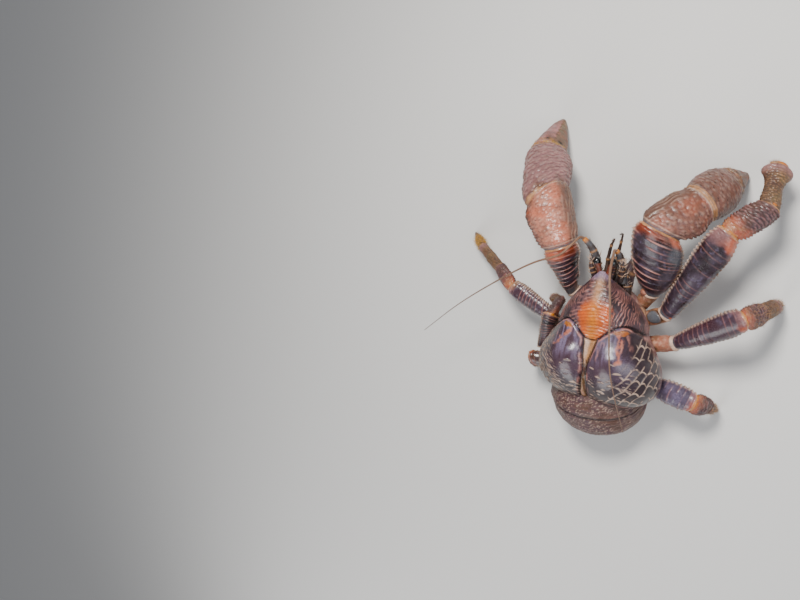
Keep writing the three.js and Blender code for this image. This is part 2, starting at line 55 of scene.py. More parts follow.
def srgb(r, g, b):
    c = np.array([r, g, b]) / 255.0
    linear = np.where(c <= 0.04045, c / 12.92, ((c + 0.055) / 1.055) ** 2.4)
    grey = linear.mean()
    return np.clip((grey + (linear - grey) * VIVID) * DEPTH, 0.003, 1)


DARK = srgb(36, 24, 28)
PLUM = srgb(72, 48, 56)
VIOLET = srgb(86, 72, 86)
LAVENDER = srgb(148, 136, 164)
MAUVE = srgb(166, 122, 120)
SALMON = srgb(198, 110, 84)
RUST = srgb(134, 60, 34)
ORANGE = srgb(206, 100, 36)
AMBER = srgb(214, 136, 56)
TAN = srgb(190, 142, 104)
CREAM = srgb(222, 192, 172)
PINK = srgb(210, 150, 138)
FLESH = srgb(204, 140, 120)
BROWN = srgb(92, 64, 52)
UMBER = srgb(50, 34, 29)
OLIVE = srgb(112, 92, 66)
OCHRE = srgb(204, 156, 76)
GREY = srgb(104, 106, 112)
BLACK = srgb(10, 8, 9)


def paint(base, mask, colour):
    """The colour laid over base by a mask from 0 to 1."""
    m = np.clip(mask, 0, 1)[..., None]
    return base * (1 - m) + colour * m


def step(low, high, x):
    """A smooth rise from 0 at low to 1 at high."""
    t = np.clip((x - low) / (high - low), 0, 1)
    return t * t * (3 - 2 * t)


def bell(x, width):
    return np.exp(-((x / width) ** 2))


# Noise
def hashed(ix, iy, iz, seed):
    """A fixed random number from 0 to 1 for each whole-numbered cell."""
    h = (ix * 73856093) ^ (iy * 19349663) ^ (iz * 83492791) ^ (seed * 26544357)
    h = (h ^ (h >> 13)) * 1274126177 & 0xFFFFFFFF
    h = (h ^ (h >> 16)) * 668265263 & 0xFFFFFFFF
    return ((h ^ (h >> 15)) & 0xFFFFFF) / 0xFFFFFF


def noise(p, scale, seed=0):
    """Smooth noise from -1 to 1 over points in millimetres, with lumps about that scale wide."""
    q = p / scale
    cell = np.floor(q).astype(np.int64)
    f = q - cell
    f = f * f * (3 - 2 * f)
    total = 0
    for dx in (0, 1):
        for dy in (0, 1):
            for dz in (0, 1):
                weight = (
                    (f[..., 0] if dx else 1 - f[..., 0])
                    * (f[..., 1] if dy else 1 - f[..., 1])
                    * (f[..., 2] if dz else 1 - f[..., 2])
                )
                total = total + weight * hashed(cell[..., 0] + dx, cell[..., 1] + dy, cell[..., 2] + dz, seed)
    return total * 2 - 1


def rough_noise(p, scale, seed=0, octaves=3):
    return sum(noise(p, scale / 2**k, seed + k) / 2**k for k in range(octaves))


def cells(u, v, size_u, size_v, seed):
    """For each point, its offsets from the scattered centres near it and a random number per centre."""
    cu = np.floor(u / size_u).astype(np.int64)
    cv = np.floor(v / size_v).astype(np.int64)
    for i in (-1, 0, 1):
        for j in (-1, 0, 1):
            a, b = cu + i, cv + j
            jitter_u = hashed(a, b, 0 * a, seed) - 0.5
            jitter_v = hashed(a, b, 0 * a + 1, seed) - 0.5
            du = u - (a + 0.5 + 0.8 * jitter_u) * size_u
            dv = v - (b + 0.5 + 0.8 * jitter_v) * size_v
            yield du, dv, hashed(a, b, 0 * a + 2, seed), hashed(a, b, 0 * a + 3, seed)


def flecks(u, v, size_u, size_v, chance, long, thin, seed, tilt=0.5):
    """Short scattered dashes, long along u and thin along v, as a mask from 0 to 1."""
    mask = np.zeros_like(u)
    for du, dv, here, turn in cells(u, v, size_u, size_v, seed):
        angle = (turn - 0.5) * 2 * tilt
        a = du * np.cos(angle) + dv * np.sin(angle)
        b = dv * np.cos(angle) - du * np.sin(angle) + 0.12 * a * a / long
        grow = 0.55 + 0.9 * turn
        d = np.sqrt((a / (long * grow)) ** 2 + (b / (thin * grow)) ** 2)
        mask = np.maximum(mask, np.where(here < chance, step(1.25, 0.75, d), 0))
    return mask


def shingles(along, across, long, gap, skew=1.5):
    """How far each point lies from the rims of overlapping scales, set in staggered rows."""
    row = np.floor(across / gap)
    nearest = np.full_like(along, gap)
    for k in (row - 1, row):
        u = along / long + 0.5 * (k % 2)
        share = np.clip(u - np.floor(u), 0.02, 1)
        swell = 2 * share**skew - 1
        rim = k + 1 - swell**2
        steep = 4 * skew * gap / long * np.abs(swell) * share ** (skew - 1)
        nearest = np.minimum(nearest, np.abs(across - rim * gap) / np.sqrt(1 + steep.clip(0, 2.5) ** 2))
    return nearest


def scales(u, v, size, seed):
    """Low tubercles: how high they stand, and the shade below each one."""
    height = np.zeros_like(u)
    shade = np.zeros_like(u)
    for du, dv, _, turn in cells(u, v, size, size, seed):
        away = np.hypot(du, 1.2 * dv) + 0.01
        r = away / (size * (0.4 + 0.22 * turn))
        height = np.maximum(height, np.clip(1 - r * r, 0, 1))
        shade = np.maximum(shade, bell(r - 1.0, 0.3) * step(0.15, 0.8, -dv / away))
    return height, shade


def mark(x, y, line, width, wander):
    """A stroke painted along a line, as a mask from 0 to 1."""
    return step(width * 1.25, width * 0.7, line_distance(x, y, line) + wander)


def ridge(f, width):
    """Narrow crests at each whole number of f, as a mask from 0 to 1."""
    return bell((f - np.round(f)) / width, 1.0)


# Tables along a length
def curve(table):
    """A smooth function through (x, value) pairs that doesn't overshoot them."""
    xs, ys = (np.array(c, float) for c in zip(*table))
    dx = np.diff(xs)
    slope = np.diff(ys) / dx
    m = np.concatenate([[slope[0]], (slope[1:] + slope[:-1]) / 2, [slope[-1]]])
    m[1:-1] = np.where(slope[1:] * slope[:-1] <= 0, 0, m[1:-1])
    limit = 3 * np.minimum(np.abs(np.append(slope, slope[-1])), np.abs(np.insert(slope, 0, slope[0])))
    m = np.clip(m, -limit, limit)

    def value(x):
        i = np.clip(np.searchsorted(xs, x, side="right") - 1, 0, len(dx) - 1)
        t = np.clip((x - xs[i]) / dx[i], 0, 1)
        a = ys[i] * (2 * t**3 - 3 * t**2 + 1) + ys[i + 1] * (3 * t**2 - 2 * t**3)
        return a + dx[i] * (m[i] * (t**3 - 2 * t**2 + t) + m[i + 1] * (t**3 - t**2))

    return value


def unit(v):
    v = np.asarray(v, float)
    return v / np.linalg.norm(v, axis=-1, keepdims=True)


# Meshes
def surface(name, points, tint, roughness, keep=None, closed=True):
    """A mesh over a grid of points (rows, around, 3), with its colours and roughness at each point."""
    rows, around = points.shape[:2]
    index = np.arange(rows * around).reshape(rows, around)
    a = index[:-1]
    b = index[1:]
    if closed:
        quads = np.stack([a, np.roll(a, -1, 1), np.roll(b, -1, 1), b], -1)
    else:
        quads = np.stack([a[:, :-1], a[:, 1:], b[:, 1:], b[:, :-1]], -1)
    if keep is not None:
        kept = keep[:-1, : quads.shape[1]] & keep[1:, : quads.shape[1]]
        quads = quads[kept]
    quads = quads.reshape(-1, 4)
    faces = [tuple(q) for q in quads.tolist()]
    if closed and keep is None:
        faces.append(tuple(index[0][::-1].tolist()))
        faces.append(tuple(index[-1].tolist()))
    flat = points.reshape(-1, 3)
    mesh = bpy.data.meshes.new(name)
    mesh.from_pydata(((flat - ORIGIN) * MM).tolist(), [], faces)
    colour = mesh.attributes.new("tint", "FLOAT_COLOR", "POINT")
    rgba = np.ones((len(flat), 4), np.float32)
    rgba[:, :3] = np.broadcast_to(tint, points.shape).reshape(-1, 3)
    colour.data.foreach_set("color", rgba.ravel())
    dull = mesh.attributes.new("dull", "FLOAT", "POINT")
    dull.data.foreach_set("value", np.broadcast_to(roughness, points.shape[:2]).astype(np.float32).ravel())
    mesh.validate()
    mesh.update()
    mesh.polygons.foreach_set("use_smooth", np.ones(len(mesh.polygons), bool))
    piece = bpy.data.objects.new(name, mesh)
    bpy.context.scene.collection.objects.link(piece)
    return piece


def facing_out(piece):
    """Turns the faces to point outwards and returns the piece."""
    bm = bmesh.new()
    bm.from_mesh(piece.data)
    loose = [v for v in bm.verts if not v.link_faces]
    bmesh.ops.delete(bm, geom=loose, context="VERTS")
    bmesh.ops.recalc_face_normals(bm, faces=bm.faces)
    bm.to_mesh(piece.data)
    bm.free()
    return piece


def finish_piece(piece, material, slot, *nodes):
    facing_out(piece)
    piece.data.materials.append(material)
    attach(piece, "root")
    if nodes:
        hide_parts(*nodes)
    return piece


# Materials
def add_node(tree, kind, values=None, feeds=None, operation=None):
    """Adds a shader node with its inputs' values and what feeds them, and returns its outputs."""
    made = tree.nodes.new("ShaderNode" + kind)
    if operation:
        made.operation = operation
    for key, value in (values or {}).items():
        made.inputs[key].default_value = value
    for key, output in (feeds or {}).items():
        tree.links.new(output, made.inputs[key])
    return made.outputs


def attribute(tree, name, output):
    made = tree.nodes.new("ShaderNodeAttribute")
    made.attribute_name = name
    return made.outputs[output]


def map_range(tree, source, low, high, to_low, to_high):
    values = {"From Min": low, "From Max": high, "To Min": to_low, "To Max": to_high}
    return add_node(tree, "MapRange", values, {"Value": source})[0]


PORE_SHADE = 0.78
GRAIN_DEPTH = 0.0008


def shell_material(name, grain, pits, relief, coat, sheen=0.0, spread=0.16):
    """A painted shell: the piece's own tint broken up by fine grain, with pores and a gloss that wears
    unevenly.
    """
    m = bpy.data.materials.new(name)
    m.use_nodes = True
    tree = m.node_tree
    bsdf = tree.nodes["Principled BSDF"].inputs
    place = {"Vector": tree.nodes.new("ShaderNodeTexCoord").outputs["Object"]}
    fine = add_node(tree, "TexNoise", {"Scale": 1 / (grain * MM), "Detail": 6, "Roughness": 0.62}, place)["Fac"]
    broad = add_node(tree, "TexNoise", {"Scale": 1 / (grain * 9 * MM), "Detail": 4}, place)["Fac"]
    pores = add_node(tree, "TexVoronoi", {"Scale": 1 / (pits * MM)}, place)["Distance"]
    both = add_node(tree, "Math", feeds={0: fine, 1: broad}, operation="ADD")[0]
    shade = map_range(tree, both, 0.7, 1.3, 1 - spread * 2, 1 + spread * 2)
    pit = map_range(tree, pores, 0.0, 0.35, PORE_SHADE, 1.0)
    amount = add_node(tree, "Math", feeds={0: shade, 1: pit}, operation="MULTIPLY")[0]
    tint = attribute(tree, "tint", "Color")
    colour = add_node(tree, "VectorMath", feeds={0: tint, "Scale": amount}, operation="SCALE")[0]
    dull = attribute(tree, "dull", "Fac")
    rough = add_node(tree, "Math", {1: 0.22}, {0: fine, 2: dull}, "MULTIPLY_ADD")[0]
    height = add_node(tree, "Math", {1: 0.6}, {0: fine, 2: pit}, "MULTIPLY_ADD")[0]
    bump = add_node(tree, "Bump", {"Strength": relief, "Distance": GRAIN_DEPTH}, {"Height": height})[0]
    for socket, output in (("Base Color", colour), ("Roughness", rough), ("Normal", bump)):
        tree.links.new(output, bsdf[socket])
    bsdf["Coat Weight"].default_value = coat
    bsdf["Coat Roughness"].default_value = 0.16
    bsdf["Specular IOR Level"].default_value = 0.55
    bsdf["Sheen Weight"].default_value = sheen
    return m


glossy = shell_material("glossy_shell", 1.6, 2.6, 0.35, 0.35)
rugged = shell_material("rugged_shell", 1.3, 2.0, 0.55, 0.2)
satin = shell_material("satin_skin", 1.0, 1.6, 0.5, 0.04)
hairy = shell_material("bristle", 0.8, 1.2, 0.1, 0.0, sheen=0.2)
wet = shell_material("eye_gloss", 2.0, 3.0, 0.02, 0.8, spread=0.02)

# The carapace
CARAPACE_WIDTH = curve([
    (-65, 36), (-58, 50), (-45, 62), (-28, 65.5), (-12, 62), (2, 54), (14, 47),
    (28, 43), (42, 35), (52, 27), (62, 17), (70, 8), (76, 2.2),
])
CARAPACE_TOP = curve([
    (-65, 92), (-58, 104), (-45, 115), (-28, 122), (-12, 125), (2, 123), (14, 123.5),
    (28, 125.5), (42, 125), (52, 122.5), (62, 119), (70, 115.5), (76, 112),
])
CARAPACE_RIM = curve([(-65, 70), (-50, 62), (28, 62), (42, 68), (52, 76), (62, 90), (70, 103), (76, 108)])
CERVICAL = [(0, 5), (6, 6), (9, 8), (14, 13), (21, 19.5), (30, 23.5), (42, 17), (58, 4), (80, -6)]
HEART = [(8, 10), (5, -8), (1.7, -26), (2.2, -40), (3.2, -57), (3.6, -75)]
MIDLINE_LEAN = 0.11
MIDLINE_PIVOT = -16

# Marks on the lobes, measured out from the midline. A streak has a side, a start, a slant from straight back
# in degrees and a length.
SPOT_OUT, SPOT_FORWARD = 28, 17
SPOT_LONG, SPOT_DEEP = 6, 3
SALMON_STREAKS = [(1, (27, 13), 15, 26), (-1, (21, 14), 38, 25)]
PINK_STREAKS = [(1, (34, 13), 30, 13), (-1, (35, 12), 40, 18), (1, (14, 3), -8, 17)]
SCALE_LONG, SCALE_GAP = 17, 6.2
ROW_RISE = 0.55
RIM_WIDTH = 0.55


def streak_line(side, start, slant, length):
    """The two ends of a streak, as (x, y) points over the carapace."""
    out, forward = start
    turn = math.radians(slant)
    ends = [(out, forward), (out + length * math.sin(turn), forward - length * math.cos(turn))]
    return [(side * u + MIDLINE_LEAN * (v - MIDLINE_PIVOT), v) for u, v in ends]


def lobe_lift(x, y):
    lobe = np.exp(-(((np.abs(x) - 30) / 20) ** 2) - ((y + 18) / 30) ** 2)
    furrow = bell(x, 9) / (1 + np.exp((y - 2) / 5))
    return 6 * lobe - 5 * furrow


def line_distance(x, y, line):
    """How far each point lies from a broken line, and how far along it."""
    best = np.full_like(x, 1e9)
    for (x0, y0), (x1, y1) in zip(line, line[1:]):
        dx, dy = x1 - x0, y1 - y0
        t = np.clip(((x - x0) * dx + (y - y0) * dy) / (dx * dx + dy * dy), 0, 1)
        best = np.minimum(best, np.hypot(x - x0 - t * dx, y - y0 - t * dy))
    return best


def dense(line, count=60):
    """The broken line rounded into a smooth one."""
    xs, ys = (np.array(c, float) for c in zip(*line))
    t = np.concatenate([[0], np.cumsum(np.hypot(np.diff(xs), np.diff(ys)))])
    at = np.linspace(0, t[-1], count)
    fx, fy = curve(list(zip(t, xs))), curve(list(zip(t, ys)))
    return list(zip(fx(at), fy(at)))


def head_shield(k):
    """The head shield: an orange wrinkled middle, cream wrinkles in front and long ridges down its sides."""
    p, x, y, ax, tone, fine = k.p, k.x, k.y, k.ax, k.tone, k.fine
    warp = noise(p, 10, 3) + 0.5 * noise(p, 4, 4)
    flank = step(0.42, 0.6, k.across + 0.05 * noise(p, 8, 5))
    cross = (y + 0.3 * ax + 1.5 * warp) / 3.8
    down = (0.75 * ax + 0.95 * (k.high - k.z) - 0.5 * y + 3.4 * warp) / 4.3
    wrinkles = ridge(cross, 0.17) * step(-0.25, 0.25, noise(p, 6, 8))
    combs = ridge(down, 0.1) * step(-0.5, 0.1, noise(p, 8, 9))
    combs = np.maximum(combs, 0.7 * ridge(down * 1.5 + 0.8 * warp, 0.12) * step(-0.1, 0.3, noise(p, 7, 10)))
    patch_x = (x - 4) / np.interp(y, [5, 16, 28, 48], [5, 13, 17, 13])
    orange = step(1.15, 0.8, np.abs(patch_x) + 0.12 * fine) * step(50, 36, y + 2 * warp)
    band = bell(x - 3 + 0.05 * (y - 50), 4.2) * step(32, 44, y)
    tip = step(64, 73, y)
    shield = paint(np.broadcast_to(PLUM, p.shape), 0.5 + 0.6 * tone, DARK)
    shield = paint(shield, 0.5 * step(-0.2, 0.6, fine) * (1 - flank), MAUVE * 0.8)
    shield = paint(shield, 0.6 * wrinkles * (1 - flank), PINK * 0.8)
    shield = paint(shield, 0.85 * combs * flank, PINK * 0.95)
    shield = paint(shield, 0.75 * band, TAN)
    shield = paint(shield, orange, ORANGE)
    fold = (y + 0.012 * (x - 4) ** 2 + 1.3 * warp) / 3.3
    crests = ridge(fold, 0.2) * step(-0.35, 0.3, noise(p, 6, 37))
    shield = paint(shield, 0.8 * orange * bell((x - 3) / 6, 1.0), AMBER)
    # Painted shade: rust-brown in the troughs between the fold crests of the orange patch.
    shield = paint(shield, 0.55 * orange * ridge(fold + 0.45, 0.2), RUST)
    shield = paint(shield, 0.4 * crests * orange, TAN)
    shield = paint(shield, 0.5 * orange * step(0.7, 1.05, np.abs(patch_x)), RUST)
    shield = paint(shield, 0.7 * tip, LAVENDER)
    lift = 0.5 * wrinkles * (1 - flank) * (1 - orange) + 0.75 * combs * flank + 0.5 * crests * orange
    lift = lift + 0.45 * tone * (1 - flank) + 0.25 * fine
    return shield, lift, orange


def lobe_skin(k):
    """The lobes: glossy dark violet with pale lavender streaks in front, partly painted sheen, painted shade
    over the outer sides and back, flecks behind and a net of scales outside.
    """
    p, x, y, ax, across, tone, fine, streaks = k.p, k.x, k.y, k.ax, k.across, k.tone, k.fine, k.streaks
    pale = step(-28, 8, y) * step(0.85, 0.55, across)
    body = paint(np.broadcast_to(VIOLET, p.shape), 0.4 + 0.7 * noise(p, 20, 41), PLUM)
    # Pale lavender streaks over the front and inner parts, partly the shell's own streaks and partly a painted
    # sheen.
    body = paint(body, 0.75 * pale * step(-0.4, 0.8, streaks + 0.4 * tone), LAVENDER)
    # Painted shade: the outer sides and the back of the lobes are painted dark.
    outer_shade = step(0.55, 0.85, across + 0.1 * noise(p, 12, 43)) + step(-26, -50, y)
    body = paint(body, 0.9 * outer_shade, PLUM * 0.35)
    front_rim = bell(k.groove - 3.5, 2.6) * step(0.8, 0.6, across)
    body = paint(body, 0.5 * front_rim * step(-0.5, 0.5, fine), GREY)
    for streak in PINK_STREAKS:
        stroke = mark(x, y, streak_line(*streak), 1.8, 1.8 * noise(p, 4, 45))
        body = paint(body, 0.45 * stroke * step(-0.3, 0.5, streaks), PINK * 0.9)
    for streak in SALMON_STREAKS:
        line = streak_line(*streak)
        broken = step(-0.6, 0.4, streaks + 0.5 * fine)
        body = paint(body, 0.7 * mark(x, y, line, 2.3, 2.4 * noise(p, 3.5, 46)) * broken, FLESH * 0.95)
        body = paint(body, 0.5 * mark(x, y, line, 1.0, 1.6 * noise(p, 3, 47)) * broken, SALMON)
    spot = np.hypot((k.rel - SPOT_OUT) / SPOT_LONG, (y - SPOT_FORWARD) / SPOT_DEEP) + 0.45 * noise(p, 3, 48)
    body = paint(body, 0.85 * step(1.2, 0.6, spot), AMBER * 0.8)
    body = paint(body, 0.6 * step(1.2, 0.6, spot) * step(0, 0.5, fine), RUST)

    # Big flecks over the middle, small ones behind, and on the outer sides rows of scales with pale rims.
    outward = 0.9 * (k.high - k.z) + 0.6 * ax
    row_place = y - ROW_RISE * outward + 1.4 * noise(p, 14, 57)
    big = flecks(x, y + 0.1 * x, 11.0, 8.0, 0.5, 3.0, 0.85, 52, 0.3)
    small = flecks(x, y + 0.1 * x, 6.0, 4.4, 0.5, 1.6, 0.5, 58, 0.35)
    web = big * step(-8, -20, y) * step(0.8, 0.6, across)
    web = np.maximum(web, small * step(-26, -40, y) * step(0.85, 0.6, across))
    side_share = across - 0.008 * (y + 20) + 0.04 * noise(p, 9, 59)
    rims = shingles(outward + 1.5 * noise(p, 10, 60), row_place, SCALE_LONG, SCALE_GAP)
    rims = step(RIM_WIDTH * 1.4, RIM_WIDTH * 0.6, rims + 0.25 * noise(p, 3, 51))
    whole = step(-0.75, -0.35, noise(p, 8, 62))
    web = np.maximum(web, rims * whole * k.right * step(0.58, 0.72, side_share))
    dashes = flecks(outward, row_place, 4.6, 2.8, 0.85, 1.9, 0.55, 53, 0.45)
    web = np.maximum(web, dashes * ~k.right * step(0.52, 0.7, side_share))
    body = paint(body, 0.8 * web * step(-1.2, 0.3, fine), CREAM * 0.92)
    wide = noise(p, 22, 41)
    lift_lobe = 0.5 * web + 0.25 * wide + 0.12 * tone
    return body, lift_lobe, web, outer_shade


def heart_skin(k):
    """The heart plate: cream on the left of its front, tan on the right and behind."""
    p, x, y, tone, fine, streaks = k.p, k.x, k.y, k.tone, k.fine, k.streaks
    plate = paint(np.broadcast_to(CREAM, p.shape), step(-1.5, 2.5, x - 0.11 * y + 1.5 * tone), TAN)
    plate = paint(plate, step(-14, -30, y), TAN * 0.4 + OLIVE * 0.5)
    plate = paint(plate, 0.75 * bell(y + 28, 5), PLUM)
    plate = paint(plate, 0.4 * step(0.1, 0.7, streaks), PINK)
    plate = paint(plate, 0.6 * step(4, 9, y + 1.5 * fine), PINK)
    return plate


def carapace():
    rows, around = 300, 420
    y = np.linspace(-65, 76, rows)[:, None]
    turn = np.linspace(0, 2 * math.pi, around, endpoint=False)[None, :]
    c, s = np.cos(turn), np.sin(turn)
    half, low, high = CARAPACE_WIDTH(y), CARAPACE_RIM(y), CARAPACE_TOP(y)
    back_edge = np.sqrt(np.clip(1 - ((-60.5 - y) / 5.0).clip(0) ** 2, 0.02, 1))
    middle = low + 0.36 * (high - low)
    x = half * (0.9 + 0.1 * back_edge) * np.sign(c) * np.abs(c) ** 0.85
    rise = np.where(s > 0, high - middle, middle - low) * back_edge
    z = middle + rise * np.sign(s) * np.abs(s) ** np.where(s > 0, 0.9, 0.55)
    up = np.clip(s, 0, 1)
    z = z + lobe_lift(x, y) * up
    y = np.broadcast_to(y, x.shape)
    p = np.stack([x, y, z], -1)
    out = unit(np.stack([c / half, 0 * c + 0 * half, s / rise.clip(1)], -1))
    rel = np.abs(x - MIDLINE_LEAN * (y - MIDLINE_PIVOT))
    right = x > MIDLINE_LEAN * (y - MIDLINE_PIVOT)
    ax = np.abs(x)
    across = ax / half
    top = step(-0.05, 0.25, s)
    tone = rough_noise(p, 9, 21)
    fine = rough_noise(p, 3.2, 22)

    groove = np.minimum(line_distance(rel, y, dense(CERVICAL)), 9)
    heart_line = np.where(y < 9, line_distance(rel, y, dense(HEART)), 9)
    crease = np.minimum(groove, heart_line) + 0.2 * fine
    cut = -2.4 * bell(crease, 1.1) + 0.6 * bell(crease - 2.6, 1.2)
    xs, ys = zip(*dense(CERVICAL))
    front = y > np.interp(rel, xs, ys)
    hx, hy = zip(*sorted(dense(HEART), key=lambda q: q[1]))
    heart = (~front) & (rel < np.interp(y, hy, hx))
    lobe = ~(front | heart)

    streaks = noise(np.stack([x / 1.5, y / 9.0, z / 9.0], -1), 1.0, 44)
    k = SimpleNamespace(
        p=p, x=x, y=y, z=z, high=high, ax=ax, across=across, rel=rel, right=right, tone=tone, fine=fine,
        groove=groove, streaks=streaks,
    )
    shield, lift, orange = head_shield(k)
    body, lift_lobe, web, outer_shade = lobe_skin(k)
    plate = heart_skin(k)
    tint = np.where(front[..., None], shield, np.where(heart[..., None], plate, body))
    relief = np.where(front, lift, np.where(heart, 0.25 * streaks, lift_lobe))
    beside = bell(crease - 2.0, 0.9) * step(-0.5, 0.3, noise(p, 7, 61)) * lobe
    tint = paint(tint, 0.75 * beside * step(-62, -40, y), PINK)
    # Painted shade: the sunken grooves are painted dark.
    tint = paint(tint, 0.9 * bell(crease, 0.8), DARK * 0.7)
    edge = step(-61.0, -63.0, y)
    tint = paint(tint, 0.6 * bell(y + 59.5, 1.0), DARK)
    tint = paint(tint, 0.8 * edge, MAUVE)
    rim = step(0.12, -0.1, s)
    tint = paint(tint, 0.7 * rim, MAUVE * 0.7)
    dull = np.where(front, 0.36 - 0.08 * orange, 0.13) + 0.25 * web + 0.2 * rim
    dull = dull + 0.1 * outer_shade.clip(0, 1) * lobe
    p = p + out * ((cut * top) + relief * top)[..., None]
    regions = (
        ("cephalic_shield", front, rugged, "shield_shell"),
        ("cardiac_plate", heart, glossy, "heart_shell"),
        ("branchial_left", lobe & (x < 0), glossy, "branchial_shell"),
        ("branchial_right", lobe & (x >= 0), glossy, "branchial_shell"),
    )
    for name, region, material, slot in regions:
        grown = region.copy()
        grown[1:] |= region[:-1]
        grown[:-1] |= region[1:]
        grown |= np.roll(region, 1, 1) | np.roll(region, -1, 1)
        piece = surface(name + "_shell", p, tint, dull, keep=grown)
        finish_piece(piece, material, slot, name)


carapace()


# Limbs
def frame_of(a, b, flat):
    axis = unit(b - a)
    across = unit(np.cross(axis, flat))
    return axis, across, np.cross(across, axis)


def joint_normals(points, flat, leans):
    steps = unit(points[1:] - points[:-1])
    normals = [steps[0]]
    for i in range(1, len(points) - 1):
        n = unit(steps[i - 1] + steps[i])
        n = unit(n + leans.get(i, 0) * unit(np.cross(n, flat)))
        normals.append(n)
    normals.append(steps[-1])
    return normals


class Grid:
    """A limb piece's surface grid, with the measures that its skin is drawn from."""

    def __init__(self, a, b, normal_a, normal_b, flat, rows, count, around, tuck_a, tuck_b):
        a, b, flat = (np.asarray(q, float) for q in (a, b, flat))
        axis, across, up = frame_of(a, b, flat)
        self.length = float(np.linalg.norm(b - a))
        share = np.linspace(-tuck_a / self.length, 1 + tuck_b / self.length, count)[:, None]
        t = np.clip(share, 0, 1)
        table = [tuple(r) + (0,) * (4 - len(r)) for r in rows]
        wide = curve([(r[0], r[1]) for r in table])(t)
        thick = curve([(r[0], r[2]) for r in table])(t)
        shift = curve([(r[0], r[3]) for r in table])(t)
        past_a = np.clip(-share * self.length / max(tuck_a, 0.01), 0, 1)
        past_b = np.clip((share - 1) * self.length / max(tuck_b, 0.01), 0, 1)
        close = np.sqrt(np.clip(1 - past_a**2, 0.03, 1)) * np.sqrt(np.clip(1 - past_b**2, 0.03, 1))
        turn = np.linspace(0, 2 * math.pi, around, endpoint=False)[None, :]
        c, s = np.cos(turn), np.sin(turn)
        ease = t * t * (3 - 2 * t)
        normal = unit((1 - ease)[..., None] * normal_a + ease[..., None] * normal_b)
        centre = a + share[..., None] * (b - a) + across * shift[..., None]
        ring = across * (wide * close * c)[..., None] + up * (thick * close * s)[..., None]
        slide = -(ring * normal).sum(-1) / (axis * normal).sum(-1)
        self.p = centre + ring + axis * slide[..., None]
        self.out = unit(across * (c / wide)[..., None] + up * (s / thick)[..., None])
        self.s = np.broadcast_to(t * self.length, self.p.shape[:2])
        self.t = np.broadcast_to(t, self.p.shape[:2])
        self.share = np.broadcast_to(share, self.p.shape[:2])
        self.c = np.broadcast_to(c, self.p.shape[:2])
        self.top = np.broadcast_to(s, self.p.shape[:2])
        self.arc = ((turn + math.pi / 2) % (2 * math.pi) - math.pi) * (wide + thick) / 2
        self.wide = np.broadcast_to(wide, self.p.shape[:2])
        self.axis, self.across, self.up = axis, across, up
        self.from_end = self.length - self.s
        self.tint = None
        self.lift = np.zeros(self.p.shape[:2])
        self.dull = np.full(self.p.shape[:2], 0.34)

    def cover(self, base, mask, second):
        self.tint = paint(np.broadcast_to(base, self.p.shape), mask, second)

    def paint(self, mask, colour):
        self.tint = paint(self.tint, mask, colour)


def beads(g, edge, gap, height, seed):
    """A row of rounded teeth along one side of a limb, edge being the side's sign."""
    beat = g.s / gap + 0.2 * noise(g.p, 8, seed)
    tooth = np.clip(1 - 2.2 * np.abs(beat - np.round(beat)), 0, 1) ** 0.7
    return height * tooth * step(0.88, 0.98, edge * g.c)


def joint_colours(g, start, end, start_len=3.0, end_len=3.0):
    """The pale rings where a piece meets its neighbours."""
    if start is not None:
        g.paint(0.85 * step(start_len, start_len * 0.4, g.s + 0.8 * noise(g.p, 3, 71)), start)
    if end is not None:
        g.paint(0.85 * step(end_len, end_len * 0.4, g.from_end + 0.8 * noise(g.p, 3, 72)), end)


def lip(g, height=0.9):
    """The raised rim at the far end of a piece."""
    g.lift = g.lift + height * bell(g.from_end - 1.6, 1.3)


def merus_skin(g, spacing, seed, edge=-1, show=1.0, fades=0.0, base=DARK, knee=(SALMON, RUST), knee_at=0.85,
               lobed=False, bare=4.0):
    """Overlapping bands with thin pale crests, a toothed edge and a coloured far end."""
    tone = rough_noise(g.p, 9, seed)
    fine = rough_noise(g.p, 3, seed + 1)
    f = g.s / spacing + 0.3 * (1 - g.c**2) + 0.1 * noise(g.p, 14, seed + 2)
    row = np.round(f)
    part_of_row = noise(np.stack([g.arc / 13, row * 3.7, 0 * row], -1), 1.0, seed + 3)
    faded = 1 - fades * step(-0.15, 0.6, -edge * g.c + 0.3 * tone)
    seen = step(-0.5, 0.15, part_of_row) * faded
    crest = ridge(f, 0.085) * seen
    minor = ridge(2 * f, 0.12) * step(0.15, 0.45, part_of_row) * (1 - crest) * step(0.5, -0.2, edge * g.c)
    band = f - np.floor(f)
    g.cover(base, 0.45 + 0.5 * tone, VIOLET * 0.7)
    g.paint(0.35 * step(0.2, 0.9, fine), LAVENDER * 0.6)
    far = step(knee_at - 0.06, knee_at + 0.06, g.t + 0.05 * tone)
    near_knee = paint(np.broadcast_to(knee[0], g.p.shape), step(-0.3, 0.6, g.c + 0.3 * tone), knee[1])
    g.tint = g.tint * (1 - 0.85 * far[..., None]) + near_knee * (0.85 * far[..., None])
    g.paint(0.85 * show * crest * (1 - 0.6 * far), PINK * 0.95)
    g.paint(0.35 * show * minor, PINK * 0.7)
    near = beads(g, edge, spacing * 0.7, 1.6, seed + 5)
    other = beads(g, -edge, spacing * 0.8, 0.9, seed + 6)
    g.paint(0.85 * near / 1.6, CREAM)
    g.paint(0.5 * other / 0.9, TAN)
    g.lift = (0.45 * band**2 * faded + 0.5 * crest + 0.15 * minor) * show + near + other + 0.25 * tone
    g.dull = 0.2 + 0.2 * crest * show + 0.05 * tone
    if lobed:
        lobe = step(0.4, 0.65, g.c + 0.1 * tone) * step(0.55, 0.7, g.t + 0.04 * tone)
        g.paint(0.8 * lobe, GREY * 0.7)
        g.paint(0.85 * lobe * step(0.84, 0.93, g.t), SALMON)
        g.lift = g.lift * (1 - lobe)
        g.dull = g.dull - 0.06 * lobe
    smooth_base = step(bare, bare * 0.7, g.s + 1.5 * tone)
    g.lift = g.lift * (1 - smooth_base)
    joint_colours(g, GREY, TAN, bare, 1.6)
    lip(g)


